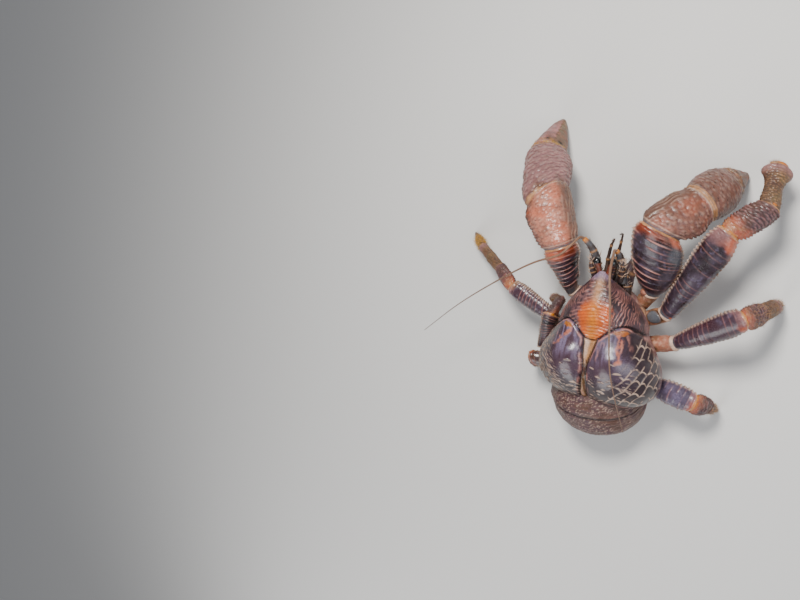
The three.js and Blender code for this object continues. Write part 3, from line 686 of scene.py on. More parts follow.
def scaly_skin(g, base, second, warm, seed, size=6.0, relief=0.9, warm_to=0.75, dimples=0.5):
    """Low tubercles with painted shade below each and a painted highlight on their tops, over two mixed colours
    with a warm middle and painted shade along the underside.
    """
    tone = rough_noise(g.p, 13, seed + 2)
    fine = rough_noise(g.p, 3, seed + 3)
    height, shade = scales(g.arc + noise(g.p, 6, seed), g.s + noise(g.p, 6, seed + 9), size, seed + 1)
    pit = flecks(g.arc, g.s, size * 0.8, size * 0.7, 0.45, 0.8, 0.5, seed + 4)
    middle = step(0.15, warm_to, g.top + 0.3 * tone) * step(0.0, 0.2, g.t + 0.05 * tone)
    g.cover(base, 0.5 + 0.7 * tone, second)
    g.paint(0.9 * middle, warm)
    # Painted highlight: the tubercles' tops are painted cream.
    g.paint(0.16 * step(0.3, 0.9, height + 0.3 * fine), CREAM)
    g.paint(0.3 * step(0.1, 0.9, fine), BROWN)
    g.paint(0.6 * shade * (1 - 0.6 * dimples), PLUM * 1.2)
    g.paint(dimples * pit, UMBER)
    # Painted shade: the underside is painted darker.
    g.paint(0.6 * step(0.1, -0.5, g.top + 0.2 * tone), UMBER * 1.2)
    g.lift = relief * (0.7 * height**0.7 - 0.45 * shade - dimples * pit) + 0.6 * tone + 0.2 * fine
    g.dull = 0.33 + 0.08 * tone + 0.15 * pit


def bark_skin(g, base, second, crest, seed, size=3.6, relief=0.8):
    """A coarse skin of broken cross wrinkles and grains, with a painted highlight on the grains' tops, painted
    shade below them and along the underside.
    """
    tone = rough_noise(g.p, 9, seed + 2)
    fine = rough_noise(g.p, 2.6, seed + 3)
    height, shade = scales(g.arc + noise(g.p, 4, seed), 1.3 * g.s, size, seed + 1)
    f = (g.s + 1.2 * noise(g.p, 6, seed + 4)) / 3.3
    crests = ridge(f, 0.17) * step(-0.3, 0.2, noise(g.p, 5, seed + 5))
    g.cover(base, 0.5 + 0.7 * tone, second)
    g.paint(0.45 * crests, crest)
    # Painted highlight: the grains' tops get the crest colour.
    g.paint(0.35 * step(0.4, 0.9, height), crest)
    g.paint(0.6 * shade, UMBER * 0.8)
    # Painted shade: the underside is painted darker.
    g.paint(0.4 * step(0.2, -0.6, g.top), UMBER)
    g.lift = relief * (0.5 * height + 0.4 * crests - 0.4 * shade) + 0.5 * tone + 0.15 * fine
    g.dull = 0.4 + 0.1 * fine


def dactyl_skin(g, seed):
    rows = ridge(g.arc / 2.6 + 0.2 * noise(g.p, 5, seed), 0.2)
    grains = ridge(g.s / 1.8 + 0.5 * noise(g.p, 3, seed + 1), 0.25) * rows
    tone = rough_noise(g.p, 6, seed + 2)
    g.cover(OLIVE, 0.5 + 0.6 * tone, BROWN)
    g.paint(0.65 * grains, UMBER)
    g.paint(step(0.72, 0.97, g.t), UMBER * 0.6)
    g.lift = 0.35 * grains * step(0.98, 0.8, g.t) + 0.15 * tone
    g.dull = 0.5 - 0.2 * step(0.8, 1, g.t)
    joint_colours(g, TAN, None, 2.5)


def coxa_skin(g, seed, shield=False, warm=None):
    tone = rough_noise(g.p, 7, seed)
    fine = rough_noise(g.p, 2.5, seed + 1)
    g.cover(TAN * 0.75, 0.4 + 0.7 * tone, FLESH * 0.6)
    g.paint(0.6 * step(0, 0.4, -tone), BROWN)
    if warm is not None:
        g.paint(0.8 * step(0.35, 0.6, g.t + 0.1 * tone), warm)
    # Painted shade: the half nearest the body, under the carapace, is painted dark.
    g.paint(0.8 * step(0.5, 0.2, g.t + 0.15 * tone), UMBER)
    g.paint(0.3 * step(0.1, 0.7, fine), CREAM)
    g.lift = 0.5 * tone + 0.25 * fine
    g.dull = 0.4 + 0 * tone
    joint_colours(g, None, CREAM, 2, 3)
    if shield:
        disc = step(1.15, 0.95, np.hypot((g.s - 0.62 * g.length) / 6.8, (g.arc - 1.5) / 6.8))
        ring = bell(np.hypot((g.s - 0.62 * g.length) / 6.8, (g.arc - 1.5) / 6.8) - 1.2, 0.12)
        # Painted shade: the sunken ring round the plate is painted dark.
        g.paint(0.8 * ring, UMBER)
        g.paint(disc, GREY)
        g.lift = g.lift * (1 - disc) + 1.0 * disc - 0.4 * ring
        g.dull = g.dull - 0.27 * disc
    lip(g, 0.7)


def make_limb(name, joints, flat, pieces, leans=None, around=110, per_mm=1.6):
    """Builds each piece of one limb. A piece is (part, rows, skin, material, slot, tuck before, tuck after)."""
    points = np.array(joints, float)
    flat = np.array(flat, float)
    normals = joint_normals(points, flat, leans or {})
    for i, piece in enumerate(pieces):
        part, rows, skin, material, slot, tuck_a, tuck_b = piece
        count = int(np.linalg.norm(points[i + 1] - points[i]) * per_mm) + 24
        ends = points[i], points[i + 1], normals[i], normals[i + 1]
        g = Grid(*ends, flat, rows, count, around, tuck_a, tuck_b)
        skin(g)
        fade = step(-0.02, 0.02, g.share) * step(1.02, 0.995, g.share)
        p = g.p + g.out * (g.lift * fade)[..., None]
        p[..., 2] = np.maximum(p[..., 2], 0)
        node = f"{name}_{part}"
        finish_piece(surface(node + "_shell", p, g.tint, g.dull), material, slot, node)
        grids[node] = (g, p)


grids = {}
COXA_ROWS = [[0, 8, 8], [0.55, 9, 8.5], [1, 7.5, 7]]
FRONT_MERUS = [[0, 7.5, 7], [0.12, 9.5, 8], [0.45, 13.5, 9.5], [0.78, 15.5, 10], [0.93, 13, 9.5], [1, 10, 8]]
FRONT_CARPUS = [[0, 8.5, 7.5], [0.2, 12, 9], [0.7, 12.5, 9], [1, 9.5, 7.5]]
FRONT_PROPODUS = [[0, 9, 7], [0.15, 8.6, 7.2], [0.5, 7.6, 6.8], [0.75, 9.5, 7], [0.9, 13, 7.5], [1, 11, 6.5]]
FRONT_DACTYL = [[0, 10, 6.2], [0.12, 10, 6], [0.5, 6.5, 4.6], [0.85, 3, 2.6], [1, 1.6, 1.6]]
MIDDLE_MERUS = [[0, 6.5, 6.5], [0.12, 8, 7.5], [0.5, 11.5, 8.5], [0.8, 12.5, 9], [0.94, 11, 8], [1, 9, 7]]
MIDDLE_CARPUS = [[0, 7.5, 6.5], [0.25, 10, 7.5], [0.75, 9.5, 7], [1, 7.5, 6]]
MIDDLE_PROPODUS = [[0, 7, 5.5], [0.2, 8, 6], [0.75, 7.5, 5.5], [1, 6.2, 5]]
MIDDLE_DACTYL = [[0, 6, 4.6], [0.15, 6.2, 4.6], [0.55, 4.4, 3.6], [0.88, 2.4, 2.2], [1, 1.5, 1.5]]
TOWARDS_VIEWER = (0.35, -0.05, 0.93)


def scaled(rows, wide, thick=None):
    return [[r[0], r[1] * wide, r[2] * (wide if thick is None else thick)] for r in rows]


def leg_pieces(seed, merus, carpus, propodus, dactyl, coxa, spacing, show=0.7, shield=False, warm=None,
               **merus_look):
    def upper(g):
        merus_skin(g, spacing, seed + 10, show=show, fades=0.3, **merus_look)

    edge = merus_look.get("edge", -1)
    return [
        ("coxa", coxa, lambda g: coxa_skin(g, seed, shield, warm), satin, "joint_skin", 0.5, 3),
        ("merus", merus, upper, glossy, "leg_shell", 3, 2),
        ("carpus", carpus, lambda g: carpus_skin(g, seed + 30, edge), rugged, "leg_shell", 4, 2),
        ("propodus", propodus, lambda g: propodus_skin(g, seed + 50, edge), rugged, "leg_shell", 4, 2),
        ("dactyl", dactyl, lambda g: dactyl_skin(g, seed + 70), rugged, "leg_shell", 3, 0.3),
    ]


def carpus_skin(g, seed, edge=-1):
    bark_skin(g, BROWN, PLUM, MAUVE, seed, 4.0, 1.0)
    tone = rough_noise(g.p, 6, seed + 8)
    warm = step(0.5, 0.08, g.t + 0.1 * tone) * step(-0.4, 0.4, g.top)
    g.paint(0.7 * warm, SALMON * 0.9)
    g.paint(0.6 * warm * step(0, 0.5, tone), TAN)
    g.lift = g.lift + beads(g, edge, 3.4, 1.3, seed + 6) + beads(g, -edge, 3.0, 1.6, seed + 7)
    joint_colours(g, AMBER, TAN, 2.0, 1.5)
    lip(g, 0.7)


def propodus_skin(g, seed, edge=-1):
    bark_skin(g, BROWN, OLIVE * 0.9, TAN, seed, 3.2, 0.9)
    g.lift = g.lift + beads(g, edge, 3.0, 0.8, seed + 6)
    g.paint(0.75 * step(0.72, 0.92, g.t), MAUVE * 0.9)
    g.lift = g.lift * step(1.05, 0.85, g.t) + 0.8 * bell(g.from_end - 2.5, 2.0)
    joint_colours(g, UMBER, TAN, 2, 1.5)


def back_pieces(seed, merus, carpus, dactyl, base, edge=-1):
    knee = (MAUVE, SALMON)

    def upper(g):
        merus_skin(g, 6.0, seed, edge=edge, show=0.4, base=base, knee=knee, knee_at=0.93)

    return [
        ("merus", merus, upper, glossy, "leg_shell", 0.5, 2),
        ("carpus", carpus, lambda g: carpus_skin(g, seed + 30, edge), rugged, "leg_shell", 4, 2),
        ("dactyl", dactyl, lambda g: dactyl_skin(g, seed + 70), rugged, "leg_shell", 3, 0.3),
    ]


make_limb(
    "right_leg_2",
    [
        (32, 30, 47), (54.1, 39, 60), (104.9, 125.4, 86),
        (130.8, 152.1, 68), (129.1, 191, 44), (122.2, 202, -0.4),
    ],
    TOWARDS_VIEWER,
    leg_pieces(
        100, FRONT_MERUS, FRONT_CARPUS, FRONT_PROPODUS, FRONT_DACTYL, COXA_ROWS, 5.6, 0.28, True,
        knee=(MAUVE * 0.7, SALMON * 0.9), knee_at=0.88,
    ),
)
make_limb(
    "right_leg_3",
    [(34, 2, 47), (67.7, 10.7, 58), (128.4, 46.4, 84), (139, 54, 57), (145, 60.5, 30), (145, 62, -0.4)],
    TOWARDS_VIEWER,
    leg_pieces(
        200, MIDDLE_MERUS, MIDDLE_CARPUS, MIDDLE_PROPODUS, MIDDLE_DACTYL, COXA_ROWS, 5.2, 0.3,
        warm=FLESH * 0.85, base=PLUM, knee=(MAUVE, SALMON), knee_at=0.92,
    ),
)
make_limb(
    "right_leg_4",
    [(36, -38, 46), (93.5, -45.6, 62), (103, -51.5, 40), (104, -60.4, -0.4)],
    TOWARDS_VIEWER,
    back_pieces(
        300,
        [[0, 8, 7.5], [0.3, 9.5, 8], [0.6, 12, 8.5], [0.85, 11.5, 8], [1, 8.5, 6.5]],
        [[0, 8, 6.5], [0.3, 10, 7], [0.75, 9, 6.5], [1, 6.5, 5]],
        [[0, 6, 4.6], [0.2, 6.5, 4.6], [0.6, 4.4, 3.4], [0.9, 2.2, 2], [1, 1.5, 1.5]],
        LAVENDER * 0.6,
    ),
)
make_limb(
    "left_leg_2",
    [
        (-32, 26, 47), (-59.3, 10.5, 60), (-123.7, 43.1, 68),
        (-155.9, 63.6, 50), (-200.5, 88.1, 26), (-232, 107, -0.4),
    ],
    (0.2, -0.35, 0.9),
    leg_pieces(
        400,
        [[0, 6, 5.5], [0.12, 7.5, 6.5], [0.5, 10, 7.5], [0.82, 11, 8], [0.95, 9.5, 7], [1, 8, 6]],
        scaled(FRONT_CARPUS, 0.72, 0.8),
        [[0, 6.5, 5.5], [0.2, 7.5, 6], [0.7, 6.6, 5.4], [1, 6, 5]],
        [[0, 5.6, 4.8], [0.2, 5.8, 4.8], [0.6, 4.4, 3.6], [0.9, 2.6, 2.2], [1, 1.5, 1.5]],
        scaled(COXA_ROWS, 0.85),
        4.4,
        0.8,
        edge=1,
        base=PLUM,
        knee=(MAUVE, TAN),
        knee_at=0.93,
    ),
)
make_limb(
    "left_leg_3",
    [(-34, -4, 47), (-79.8, -18.2, 56), (-60, 20, 88), (-66, 34.5, 58), (-86, 35, 28), (-101, 35, -0.4)],
    (0.5, -0.6, 0.6),
    leg_pieces(
        500,
        [[0, 5.5, 5], [0.15, 6, 5.5], [0.5, 7.5, 6.5], [0.85, 9, 6.5], [1, 7.5, 5.5]],
        scaled(MIDDLE_CARPUS, 0.8),
        scaled(MIDDLE_PROPODUS, 0.85),
        scaled(MIDDLE_DACTYL, 0.85),
        scaled(COXA_ROWS, 0.75),
        3.6,
        0.9,
        edge=1,
        knee=(MAUVE, BROWN),
        knee_at=0.93,
    ),
)
make_limb(
    "left_leg_4",
    [(-36, -38, 46), (-87.3, -37.6, 62), (-97, -46, 40), (-107, -56.3, -0.4)],
    (-0.2, -0.1, 0.9),
    back_pieces(
        600,
        [[0, 7, 6.5], [0.4, 8.5, 7], [0.8, 9, 7], [1, 7, 5.5]],
        [[0, 6.5, 5], [0.4, 7.5, 5.5], [1, 5.5, 4.5]],
        [[0, 5, 4.2], [0.3, 5.2, 4], [0.7, 3.6, 3], [1, 1.5, 1.5]],
        BROWN * 0.8,
    ),
)

# Claws
TOOTH = 7.0
TOOTH_HEIGHT = 1.1


def finger_skin(g, seed, base, ochre):
    striae = ridge((g.s + 0.7 * noise(g.p, 4, seed)) / 2.0, 0.22) * step(-0.3, 0.4, noise(g.p, 4, seed + 1))
    tone = rough_noise(g.p, 8, seed + 2)
    g.cover(base, 0.4 + 0.6 * tone, BROWN * 1.3)
    g.paint(0.5 * striae, PINK)
    g.paint(0.5 * step(0.6, 1.0, g.t), OLIVE)
    fuzz = step(7, 1, g.s + 3 * noise(g.p, 4, seed + 3))
    fuzz = fuzz * step(-0.3, 0.3, rough_noise(g.p, 5, seed + 4))
    g.paint(ochre * fuzz, OCHRE * 0.8)
    notches = bell((g.s - 7) / 2.2, 1.0) * (bell((g.arc + 7) / 3.5, 1.0) + bell((g.arc - 7) / 3, 1.0))
    # Painted shade: the two sunken notches near the finger's base are painted black.
    g.paint(1.2 * notches, BLACK)
    g.lift = 0.4 * striae + 0.4 * tone - 0.9 * notches
    g.dull = 0.38 + 0.1 * tone


def palm_skin(g, seed, base, cuff, size, relief, dimples, ochre):
    scaly_skin(g, BROWN * 1.3, MAUVE * 0.8, base, seed, size, relief, 0.5, dimples)
    g.paint(0.85 * step(cuff * 1.2, cuff * 0.7, g.s + 0.8 * noise(g.p, 4, seed + 8)), TAN)
    g.paint(0.6 * bell(g.s - cuff * 0.55, 0.5), BROWN)
    fuzz = step(9, 3, g.from_end + 3 * noise(g.p, 4, seed + 9))
    fuzz = fuzz * step(-0.3, 0.3, rough_noise(g.p, 5, seed + 10))
    g.paint(ochre * fuzz, OCHRE * 0.8)
    g.lift = g.lift * (1 - 0.5 * fuzz) + 0.9 * bell(g.s - cuff * 0.8, cuff * 0.4)


def claw_carpus_skin(g, seed, warm, fold_side, salmon_and_highlight_amount):
    scaly_skin(g, BROWN, MAUVE * 0.7, warm, seed, 5.0, 0.7, 0.75, 0.6)
    side = step(0.35, 0.75, fold_side * g.c)
    folds = ridge((g.arc + 0.25 * g.s + 2.5 * noise(g.p, 10, seed + 20)) / 4.8, 0.16) * side
    folds = folds * step(-0.6, 0.1, noise(g.p, 8, seed + 24))
    g.paint(0.75 * side, BROWN)
    g.paint(0.35 * folds, CREAM)
    g.lift = g.lift * (1 - 0.5 * side) + 1.1 * folds
    g.lift = g.lift + beads(g, -fold_side, 4.8, 1.6, seed + 21)
    g.paint(0.7 * step(0.9, 0.98, -fold_side * g.c), BROWN)
    # Salmon patches over the upper side: partly the carpus's own colour, partly a painted highlight.
    salmon_and_highlight = step(-0.2, 0.5, rough_noise(g.p, 12, seed + 25)) * step(-0.1, 0.6, g.top)
    g.paint(salmon_and_highlight_amount * salmon_and_highlight * (1 - side), SALMON)
    g.paint(0.6 * step(3.6, 1.6, g.s + 1.2 * noise(g.p, 6, seed + 23)), GREY)
    g.paint(0.5 * bell(g.s - 4.6 + noise(g.p, 8, seed + 26), 0.7), CREAM)
    g.paint(0.6 * step(2.2, 1.2, g.from_end), CREAM)
    lip(g, 1.0)


def make_claw(name, seed, joints, flat, leans, coxa, merus, carpus, palm, fingers, spacing, look):
    def upper(g):
        merus_skin(g, spacing, seed + 10, **look["merus"])

    def middle(g):
        claw_carpus_skin(g, seed + 30, *look["carpus"])

    points = np.array(joints, float)
    flat = np.array(flat, float)
    pieces = [
        ("coxa", coxa, lambda g: coxa_skin(g, seed), satin, "joint_skin", 0.5, 3),
        ("merus", merus, upper, glossy, "leg_shell", 3, 2),
        ("carpus", carpus, middle, rugged, "claw_shell", 5, 3),
    ]
    make_limb(name, joints, flat, pieces, leans, around=170)
    normals = joint_normals(points, flat, leans)
    wrist, knuckle, tip = points[3:]
    hand = Grid(wrist, knuckle, normals[3], normals[4], flat, palm, 190, 190, 5, 4)
    palm_skin(hand, seed + 50, *look["palm"], look["ochre"])
    fade = step(-0.02, 0.02, hand.share) * step(1.02, 0.99, hand.share)
    p = hand.p + hand.out * (hand.lift * fade)[..., None]
    axis, across, _ = frame_of(knuckle, tip, flat)
    for part, side in (("finger", -1), ("palm", 1)):
        g = Grid(knuckle, tip, normals[4], normals[5], flat, fingers, 150, 150, 2, 0.6)
        finger_skin(g, seed + 70, look["finger"] if side < 0 else look["thumb"], look["ochre"])
        q = g.p + g.out * (g.lift * step(1.02, 0.9, g.share))[..., None]
        along = ((q - knuckle) @ axis) / (TOOTH / 2)
        saw = TOOTH_HEIGHT * (1 - 2 * np.abs(along - 2 * np.floor(along / 2) - 1))
        offset = (q - knuckle) @ across
        face = -saw + side * 0.35
        reach = np.where(side * offset < side * face, face - offset, 0)
        q = q + across * reach[..., None]
        inner = step(0.2, 1.2, np.abs(reach))
        g.paint(0.75 * inner, CREAM * 0.8)
        q[..., 2] = np.maximum(q[..., 2], 0)
        node = f"{name}_{part}"
        piece = surface(node + "_shell", q, g.tint, g.dull)
        if side < 0:
            finish_piece(piece, rugged, "claw_shell", node)
            grids[node] = (g, q)
        else:
            facing_out(piece)
            whole = facing_out(surface(node + "_hand", p, hand.tint, hand.dull))
            joined = join(piece, whole)
            finish_piece(joined, rugged, "claw_shell", node)
            grids[node] = (hand, p)


def join(piece, other):
    """Adds the other piece's mesh to the first and removes it."""
    with bpy.context.temp_override(active_object=piece, selected_editable_objects=[piece, other]):
        bpy.ops.object.join()
    return piece


make_claw(
    "left_claw",
    700,
    [
        (-24, 44, 50), (-49.4, 49.9, 62), (-51.2, 97.6, 108),
        (-80.8, 151.9, 98), (-113.3, 211.6, 42), (-120.5, 258.3, 0.6),
    ],
    (0.452, -0.134, 0.881),
    {3: -0.45, 4: 0.12},
    coxa=[[0, 7.5, 7.5], [0.5, 8, 8], [1, 7, 7]],
    merus=[[0, 7, 7], [0.15, 9, 9], [0.55, 13.5, 13], [0.85, 18, 16], [1, 16, 14]],
    carpus=[[0, 15.5, 14], [0.12, 20, 18], [0.5, 24, 20.5], [0.85, 26, 20], [1, 21, 17]],
    palm=[[0, 20, 17], [0.1, 24, 20], [0.4, 27.5, 22], [0.75, 27, 20.5], [1, 21.5, 15]],
    fingers=[[0, 21.5, 15], [0.25, 18.5, 12.8], [0.6, 13, 9.6], [0.88, 7.2, 6.2], [1, 3.6, 3.4]],
    spacing=5.6,
    look={
        "merus": {"edge": 1, "knee": (SALMON, RUST), "knee_at": 0.8, "bare": 15.0},
        "carpus": (FLESH * 0.85, 1, 0.5),
        "palm": (MAUVE * 0.85, 2.2, 6.4, 1.1, 0.35),
        "finger": MAUVE,
        "thumb": OLIVE,
        "ochre": 0.75,
    },
)
make_claw(
    "right_claw",
    800,
    [(24, 44, 50), (38.6, 60, 66), (49.5, 122.3, 108), (74.3, 150.2, 86), (87.9, 177.2, 42), (95.1, 192, 0.6)],
    (0.223, -0.123, 0.967),
    {},
    coxa=[[0, 7.5, 7.5], [0.5, 8, 8], [1, 7.5, 7.5]],
    merus=[[0, 8, 7.5], [0.12, 13, 10], [0.35, 20, 14], [0.7, 24, 16], [0.9, 22, 15], [1, 17, 12]],
    carpus=[[0, 16, 12], [0.2, 22, 16], [0.6, 24, 17], [1, 19, 14]],
    palm=[[0, 18, 13.5], [0.15, 22, 16], [0.5, 24, 17], [0.8, 22, 15.5], [1, 17, 12.5]],
    fingers=[[0, 17, 12.5], [0.25, 14.5, 10.5], [0.6, 9.5, 7.5], [0.88, 4.5, 4.5], [1, 2.2, 2.4]],
    spacing=7.2,
    look={
        "merus": {
            "edge": -1, "fades": 0.85, "knee": (RUST, BROWN), "knee_at": 0.86, "lobed": True, "bare": 7.0,
        },
        "carpus": (FLESH * 0.34, -1, 0.25),
        "palm": (FLESH * 0.3, 5.0, 5.0, 0.45, 0.8),
        "finger": BROWN * 1.2,
        "thumb": BROWN * 1.2,
        "ochre": 0.2,
    },
)


# The thorax and its plates
THORAX_BACK, THORAX_FRONT = -54, 62
THORAX_HALF = curve([(-54, 28), (-44, 35), (-20, 38), (20, 38), (42, 31), (54, 22), (62, 14)])
THORAX_LOW = curve([(-54, 44), (-44, 38), (-20, 35), (20, 36), (42, 42), (54, 50), (62, 62)])
THORAX_HIGH = curve([(-54, 74), (42, 74), (62, 92)])


def thorax():
    rows, around = 170, 260
    y = np.linspace(THORAX_BACK, THORAX_FRONT, rows)[:, None]
    turn = np.linspace(0, 2 * math.pi, around, endpoint=False)[None, :]
    c, s = np.cos(turn), np.sin(turn)
    half, low, high = THORAX_HALF(y), THORAX_LOW(y), THORAX_HIGH(y)
    middle = low + 0.6 * (high - low)
    x = half * np.sign(c) * np.abs(c) ** 0.85
    rise = np.where(s > 0, high - middle, middle - low)
    z = middle + rise * np.sign(s) * np.abs(s) ** np.where(s > 0, 0.9, 0.55)
    y = np.broadcast_to(y, x.shape)
    p = np.stack([x, y, z], -1)
    out = unit(np.stack([c / half, 0 * c + 0 * half, s / rise], -1))
    tone = rough_noise(p, 10, 901)
    plates = ridge((y + 8 - 0.25 * np.abs(x)) / 22.0, 0.05)
    keel = bell(x, 1.2) * step(-0.2, -0.7, s)
    folds = ridge((z + 1.5 * noise(p, 9, 902)) / 4.5, 0.2) * step(-0.3, 0.2, s)
    tint = paint(np.broadcast_to(TAN, p.shape), 0.5 + 0.7 * tone, MAUVE * 0.8)
    # Painted shade: the sunken grooves between the plates and along the keel are painted dark.
    tint = paint(tint, 0.7 * plates, UMBER)
    tint = paint(tint, 0.6 * keel, BROWN)
    tint = paint(tint, 0.35 * folds, CREAM)
    tint = paint(tint, 0.45 * step(30, 60, y), PLUM)
    lift = -0.9 * plates - 0.8 * keel + 0.4 * tone + 0.3 * folds
    p = p + out * (lift * step(THORAX_BACK, THORAX_BACK + 3, y))[..., None]
    finish_piece(surface("thorax_shell", p, tint, 0.5 + 0 * x), satin, "joint_skin", "thorax")


thorax()


# The abdomen, a ball cut into plates by planes through a line under its front
ABDOMEN_CENTRE = np.array([-8.0, -64.0, 48.0])
ABDOMEN_SIZE = np.array([52.0, 47.0, 50.0])
PLATE_PIVOT_Y, PLATE_PIVOT_Z = -42.0, 30.0
PLATE_CUTS = (56.0, 31.0, 6.0, -22.0)
ABDOMEN_FRONT = -55


def abdomen():
    centre, size = ABDOMEN_CENTRE, ABDOMEN_SIZE
    rows, around = 360, 260
    turn = np.linspace(0, math.pi, around)[None, :]
    lap = np.linspace(-0.5 * math.pi, 1.5 * math.pi, rows)[:, None]
    x = -np.cos(turn) * np.ones_like(lap)
    ring = np.sin(turn)
    y = -ring * np.cos(lap)
    z = ring * np.sin(lap)
    p = centre + size * np.stack([x, y, z], -1)
    out = unit(np.stack([x, y, z], -1) / size)
    angle = np.degrees(np.arctan2(p[..., 2] - PLATE_PIVOT_Z, PLATE_PIVOT_Y - p[..., 1]))
    angle = angle + 3.5 * (p[..., 0] - centre[0]) ** 2 / size[0] ** 2
    overhang = np.zeros_like(angle)
    seam = np.zeros_like(angle)
    for cut in PLATE_CUTS:
        overhang = overhang + 1.3 * step(cut + 16, cut + 0.8, angle) * step(cut - 0.4, cut + 0.8, angle)
        seam = np.maximum(seam, bell(angle - cut + 0.9, 1.1))
    tone = rough_noise(p, 9, 911)
    plate = step(-24, -20, angle)
    wrinkle = ridge((angle * 0.75 + 1.2 * noise(p, 8, 912)) / 3.2, 0.22)
    dash = flecks(p[..., 0], angle * 0.85, 2.7, 1.8, 0.75, 1.0, 0.32, 913, 0.6)
    base = paint(np.broadcast_to(BROWN * 0.8, p.shape), 0.5 + 0.6 * tone, PLUM * 1.1)
    tint = paint(base, 0.2 * wrinkle, MAUVE * 0.8)
    tint = paint(tint, 0.55 * dash * plate * step(-0.8, 0.2, tone + 0.2), CREAM * 0.75)
    soft = paint(np.broadcast_to(MAUVE * 0.75, p.shape), 0.5 + 0.7 * tone, BROWN)
    soft = paint(soft, 0.3 * wrinkle, TAN)
    tint = tint * plate[..., None] + soft * (1 - plate)[..., None]
    # Painted shade: the sunken seams behind each plate's overhanging edge are painted dark.
    tint = paint(tint, 0.8 * seam, DARK)
    # Painted highlight: a soft lighter patch over the middle of the third plate.
    highlight_patch = bell(angle - 20, 9) * bell((p[..., 0] - centre[0]) / 14, 1.0)
    tint = paint(tint, 0.5 * highlight_patch * step(0.1, 0.5, tone), TAN)
    lift = overhang - 1.5 * seam + 0.2 * wrinkle + 0.5 * tone + 0.25 * dash
    p = p + out * (lift - 0.8)[..., None]
    p[..., 1] = np.minimum(p[..., 1], ABDOMEN_FRONT)
    p[..., 2] = np.maximum(p[..., 2], 0)
    bounds = [400.0, *PLATE_CUTS, -400.0]
    names = ("tergite_1", "tergite_2", "tergite_3", "tergite_4", "abdomen_underside")
    around_angle = np.where(angle < -120, angle + 360, angle)
    for name, high, low in zip(names, bounds, bounds[1:]):
        region = (around_angle <= high + 1.2) & (around_angle > low - 1.2)
        piece = surface(name + "_shell", p, tint, 0.4 + 0.12 * tone, keep=region, closed=False)
        finish_piece(piece, satin, "abdomen_shell", name)


abdomen()


# Rods: stalks, feelers and mouth limbs
def rod_points(points, count):
    points = np.array(points, float)
    chord = np.concatenate([[0], np.cumsum(np.sqrt(np.linalg.norm(np.diff(points, axis=0), axis=1)))])
    at = np.linspace(0, chord[-1], count)
    return np.stack([curve(list(zip(chord, points[:, k])))(at) for k in range(3)], -1), at / chord[-1]


def rod(name, points, radii, skin, material, slot, nodes, count=80, around=24):
    centre, t = rod_points(points, count)
    axis = unit(np.gradient(centre, axis=0))
    side = unit(np.cross(axis, np.where(np.abs(axis[:, 2:]) > 0.9, [[0.0, 1.0, 0.0]], [[0.0, 0.0, 1.0]])))
    for i in range(1, count):
        side[i] = unit(side[i - 1] - axis[i] * (side[i - 1] @ axis[i]))
    up = np.cross(side, axis)
    radius = curve([(i / (len(radii) - 1), r) for i, r in enumerate(radii)])(t)
    turn = np.linspace(0, 2 * math.pi, around, endpoint=False)
    out = side[:, None] * np.cos(turn)[None, :, None] + up[:, None] * np.sin(turn)[None, :, None]
    s = np.concatenate([[0], np.cumsum(np.linalg.norm(np.diff(centre, axis=0), axis=1))])
    tint, lift, dull = skin(centre[:, None] + out * radius[:, None, None], s[:, None], t[:, None])
    p = centre[:, None] + out * (radius[:, None] + lift)[..., None]
    p[..., 2] = np.maximum(p[..., 2], 0)
    piece = surface(name, p, tint, dull)
    share = np.broadcast_to(t[:, None], p.shape[:2])
    grids[name] = (SimpleNamespace(out=out, axis=axis[:, None], t=share, length=None), p)
    return finish_piece(piece, material, slot, *nodes)


def whip_skin(p, s, t):
    bands = ridge(s / 1.6, 0.28)
    tint = paint(np.broadcast_to(srgb(150, 112, 88), p.shape), 0.5 * bands + 0 * p[..., 0], UMBER)
    tint = paint(tint, 0.35 * t + 0 * p[..., 0], UMBER)
    return tint, 0.1 * bands * (1 - 0.7 * t) + 0 * p[..., 0], 0.45 + 0 * p[..., 0]


def stem_skin(seed, base, joints, tip):
    def skin(p, _, t):
        tone = rough_noise(p, 5, seed)
        ring = sum(bell((t - j) / 0.02, 1.0) for j in joints) if joints else 0 * t
        tint = paint(np.broadcast_to(base, p.shape), 0.5 + 0.6 * tone, UMBER)
        tint = paint(tint, 0.7 * ring + 0 * tone, TAN)
        tint = paint(tint, 0.8 * step(0.86, 0.98, t) + 0 * tone, tip)
        return tint, 0.5 * ring + 0.25 * tone, 0.42 + 0 * tone

    return skin


EYE_WIDE, EYE_LONG = 3.7, 4.4


def eye(side, x, y, z):
    reach = math.copysign(3, x)
    base = (x * 0.72, y - 15, z - 3)
    rod(
        f"{side}_eyestalk_shell", [base, (x, y - 6, z - 1), (x + reach, y, z)], [3, 2.6, 3],
        stem_skin(921, RUST * 0.8, [], PLUM), rugged, "leg_shell", [f"{side}_eyestalk"], 40, 32,
    )
    turn = np.linspace(0, 2 * math.pi, 48, endpoint=False)[None, :]
    lap = np.linspace(0.02, math.pi - 0.02, 40)[:, None]
    wide, long = EYE_WIDE * np.sin(lap), -EYE_LONG * np.cos(lap)
    ball = np.stack([wide * np.cos(turn), long + 0 * turn, wide * np.sin(turn)], -1)
    piece = surface(f"{side}_eye_shell", ball + np.array([x + reach, y + 2, z]), BLACK, 0.06)
    finish_piece(piece, wet, "eye", f"{side}_eye")


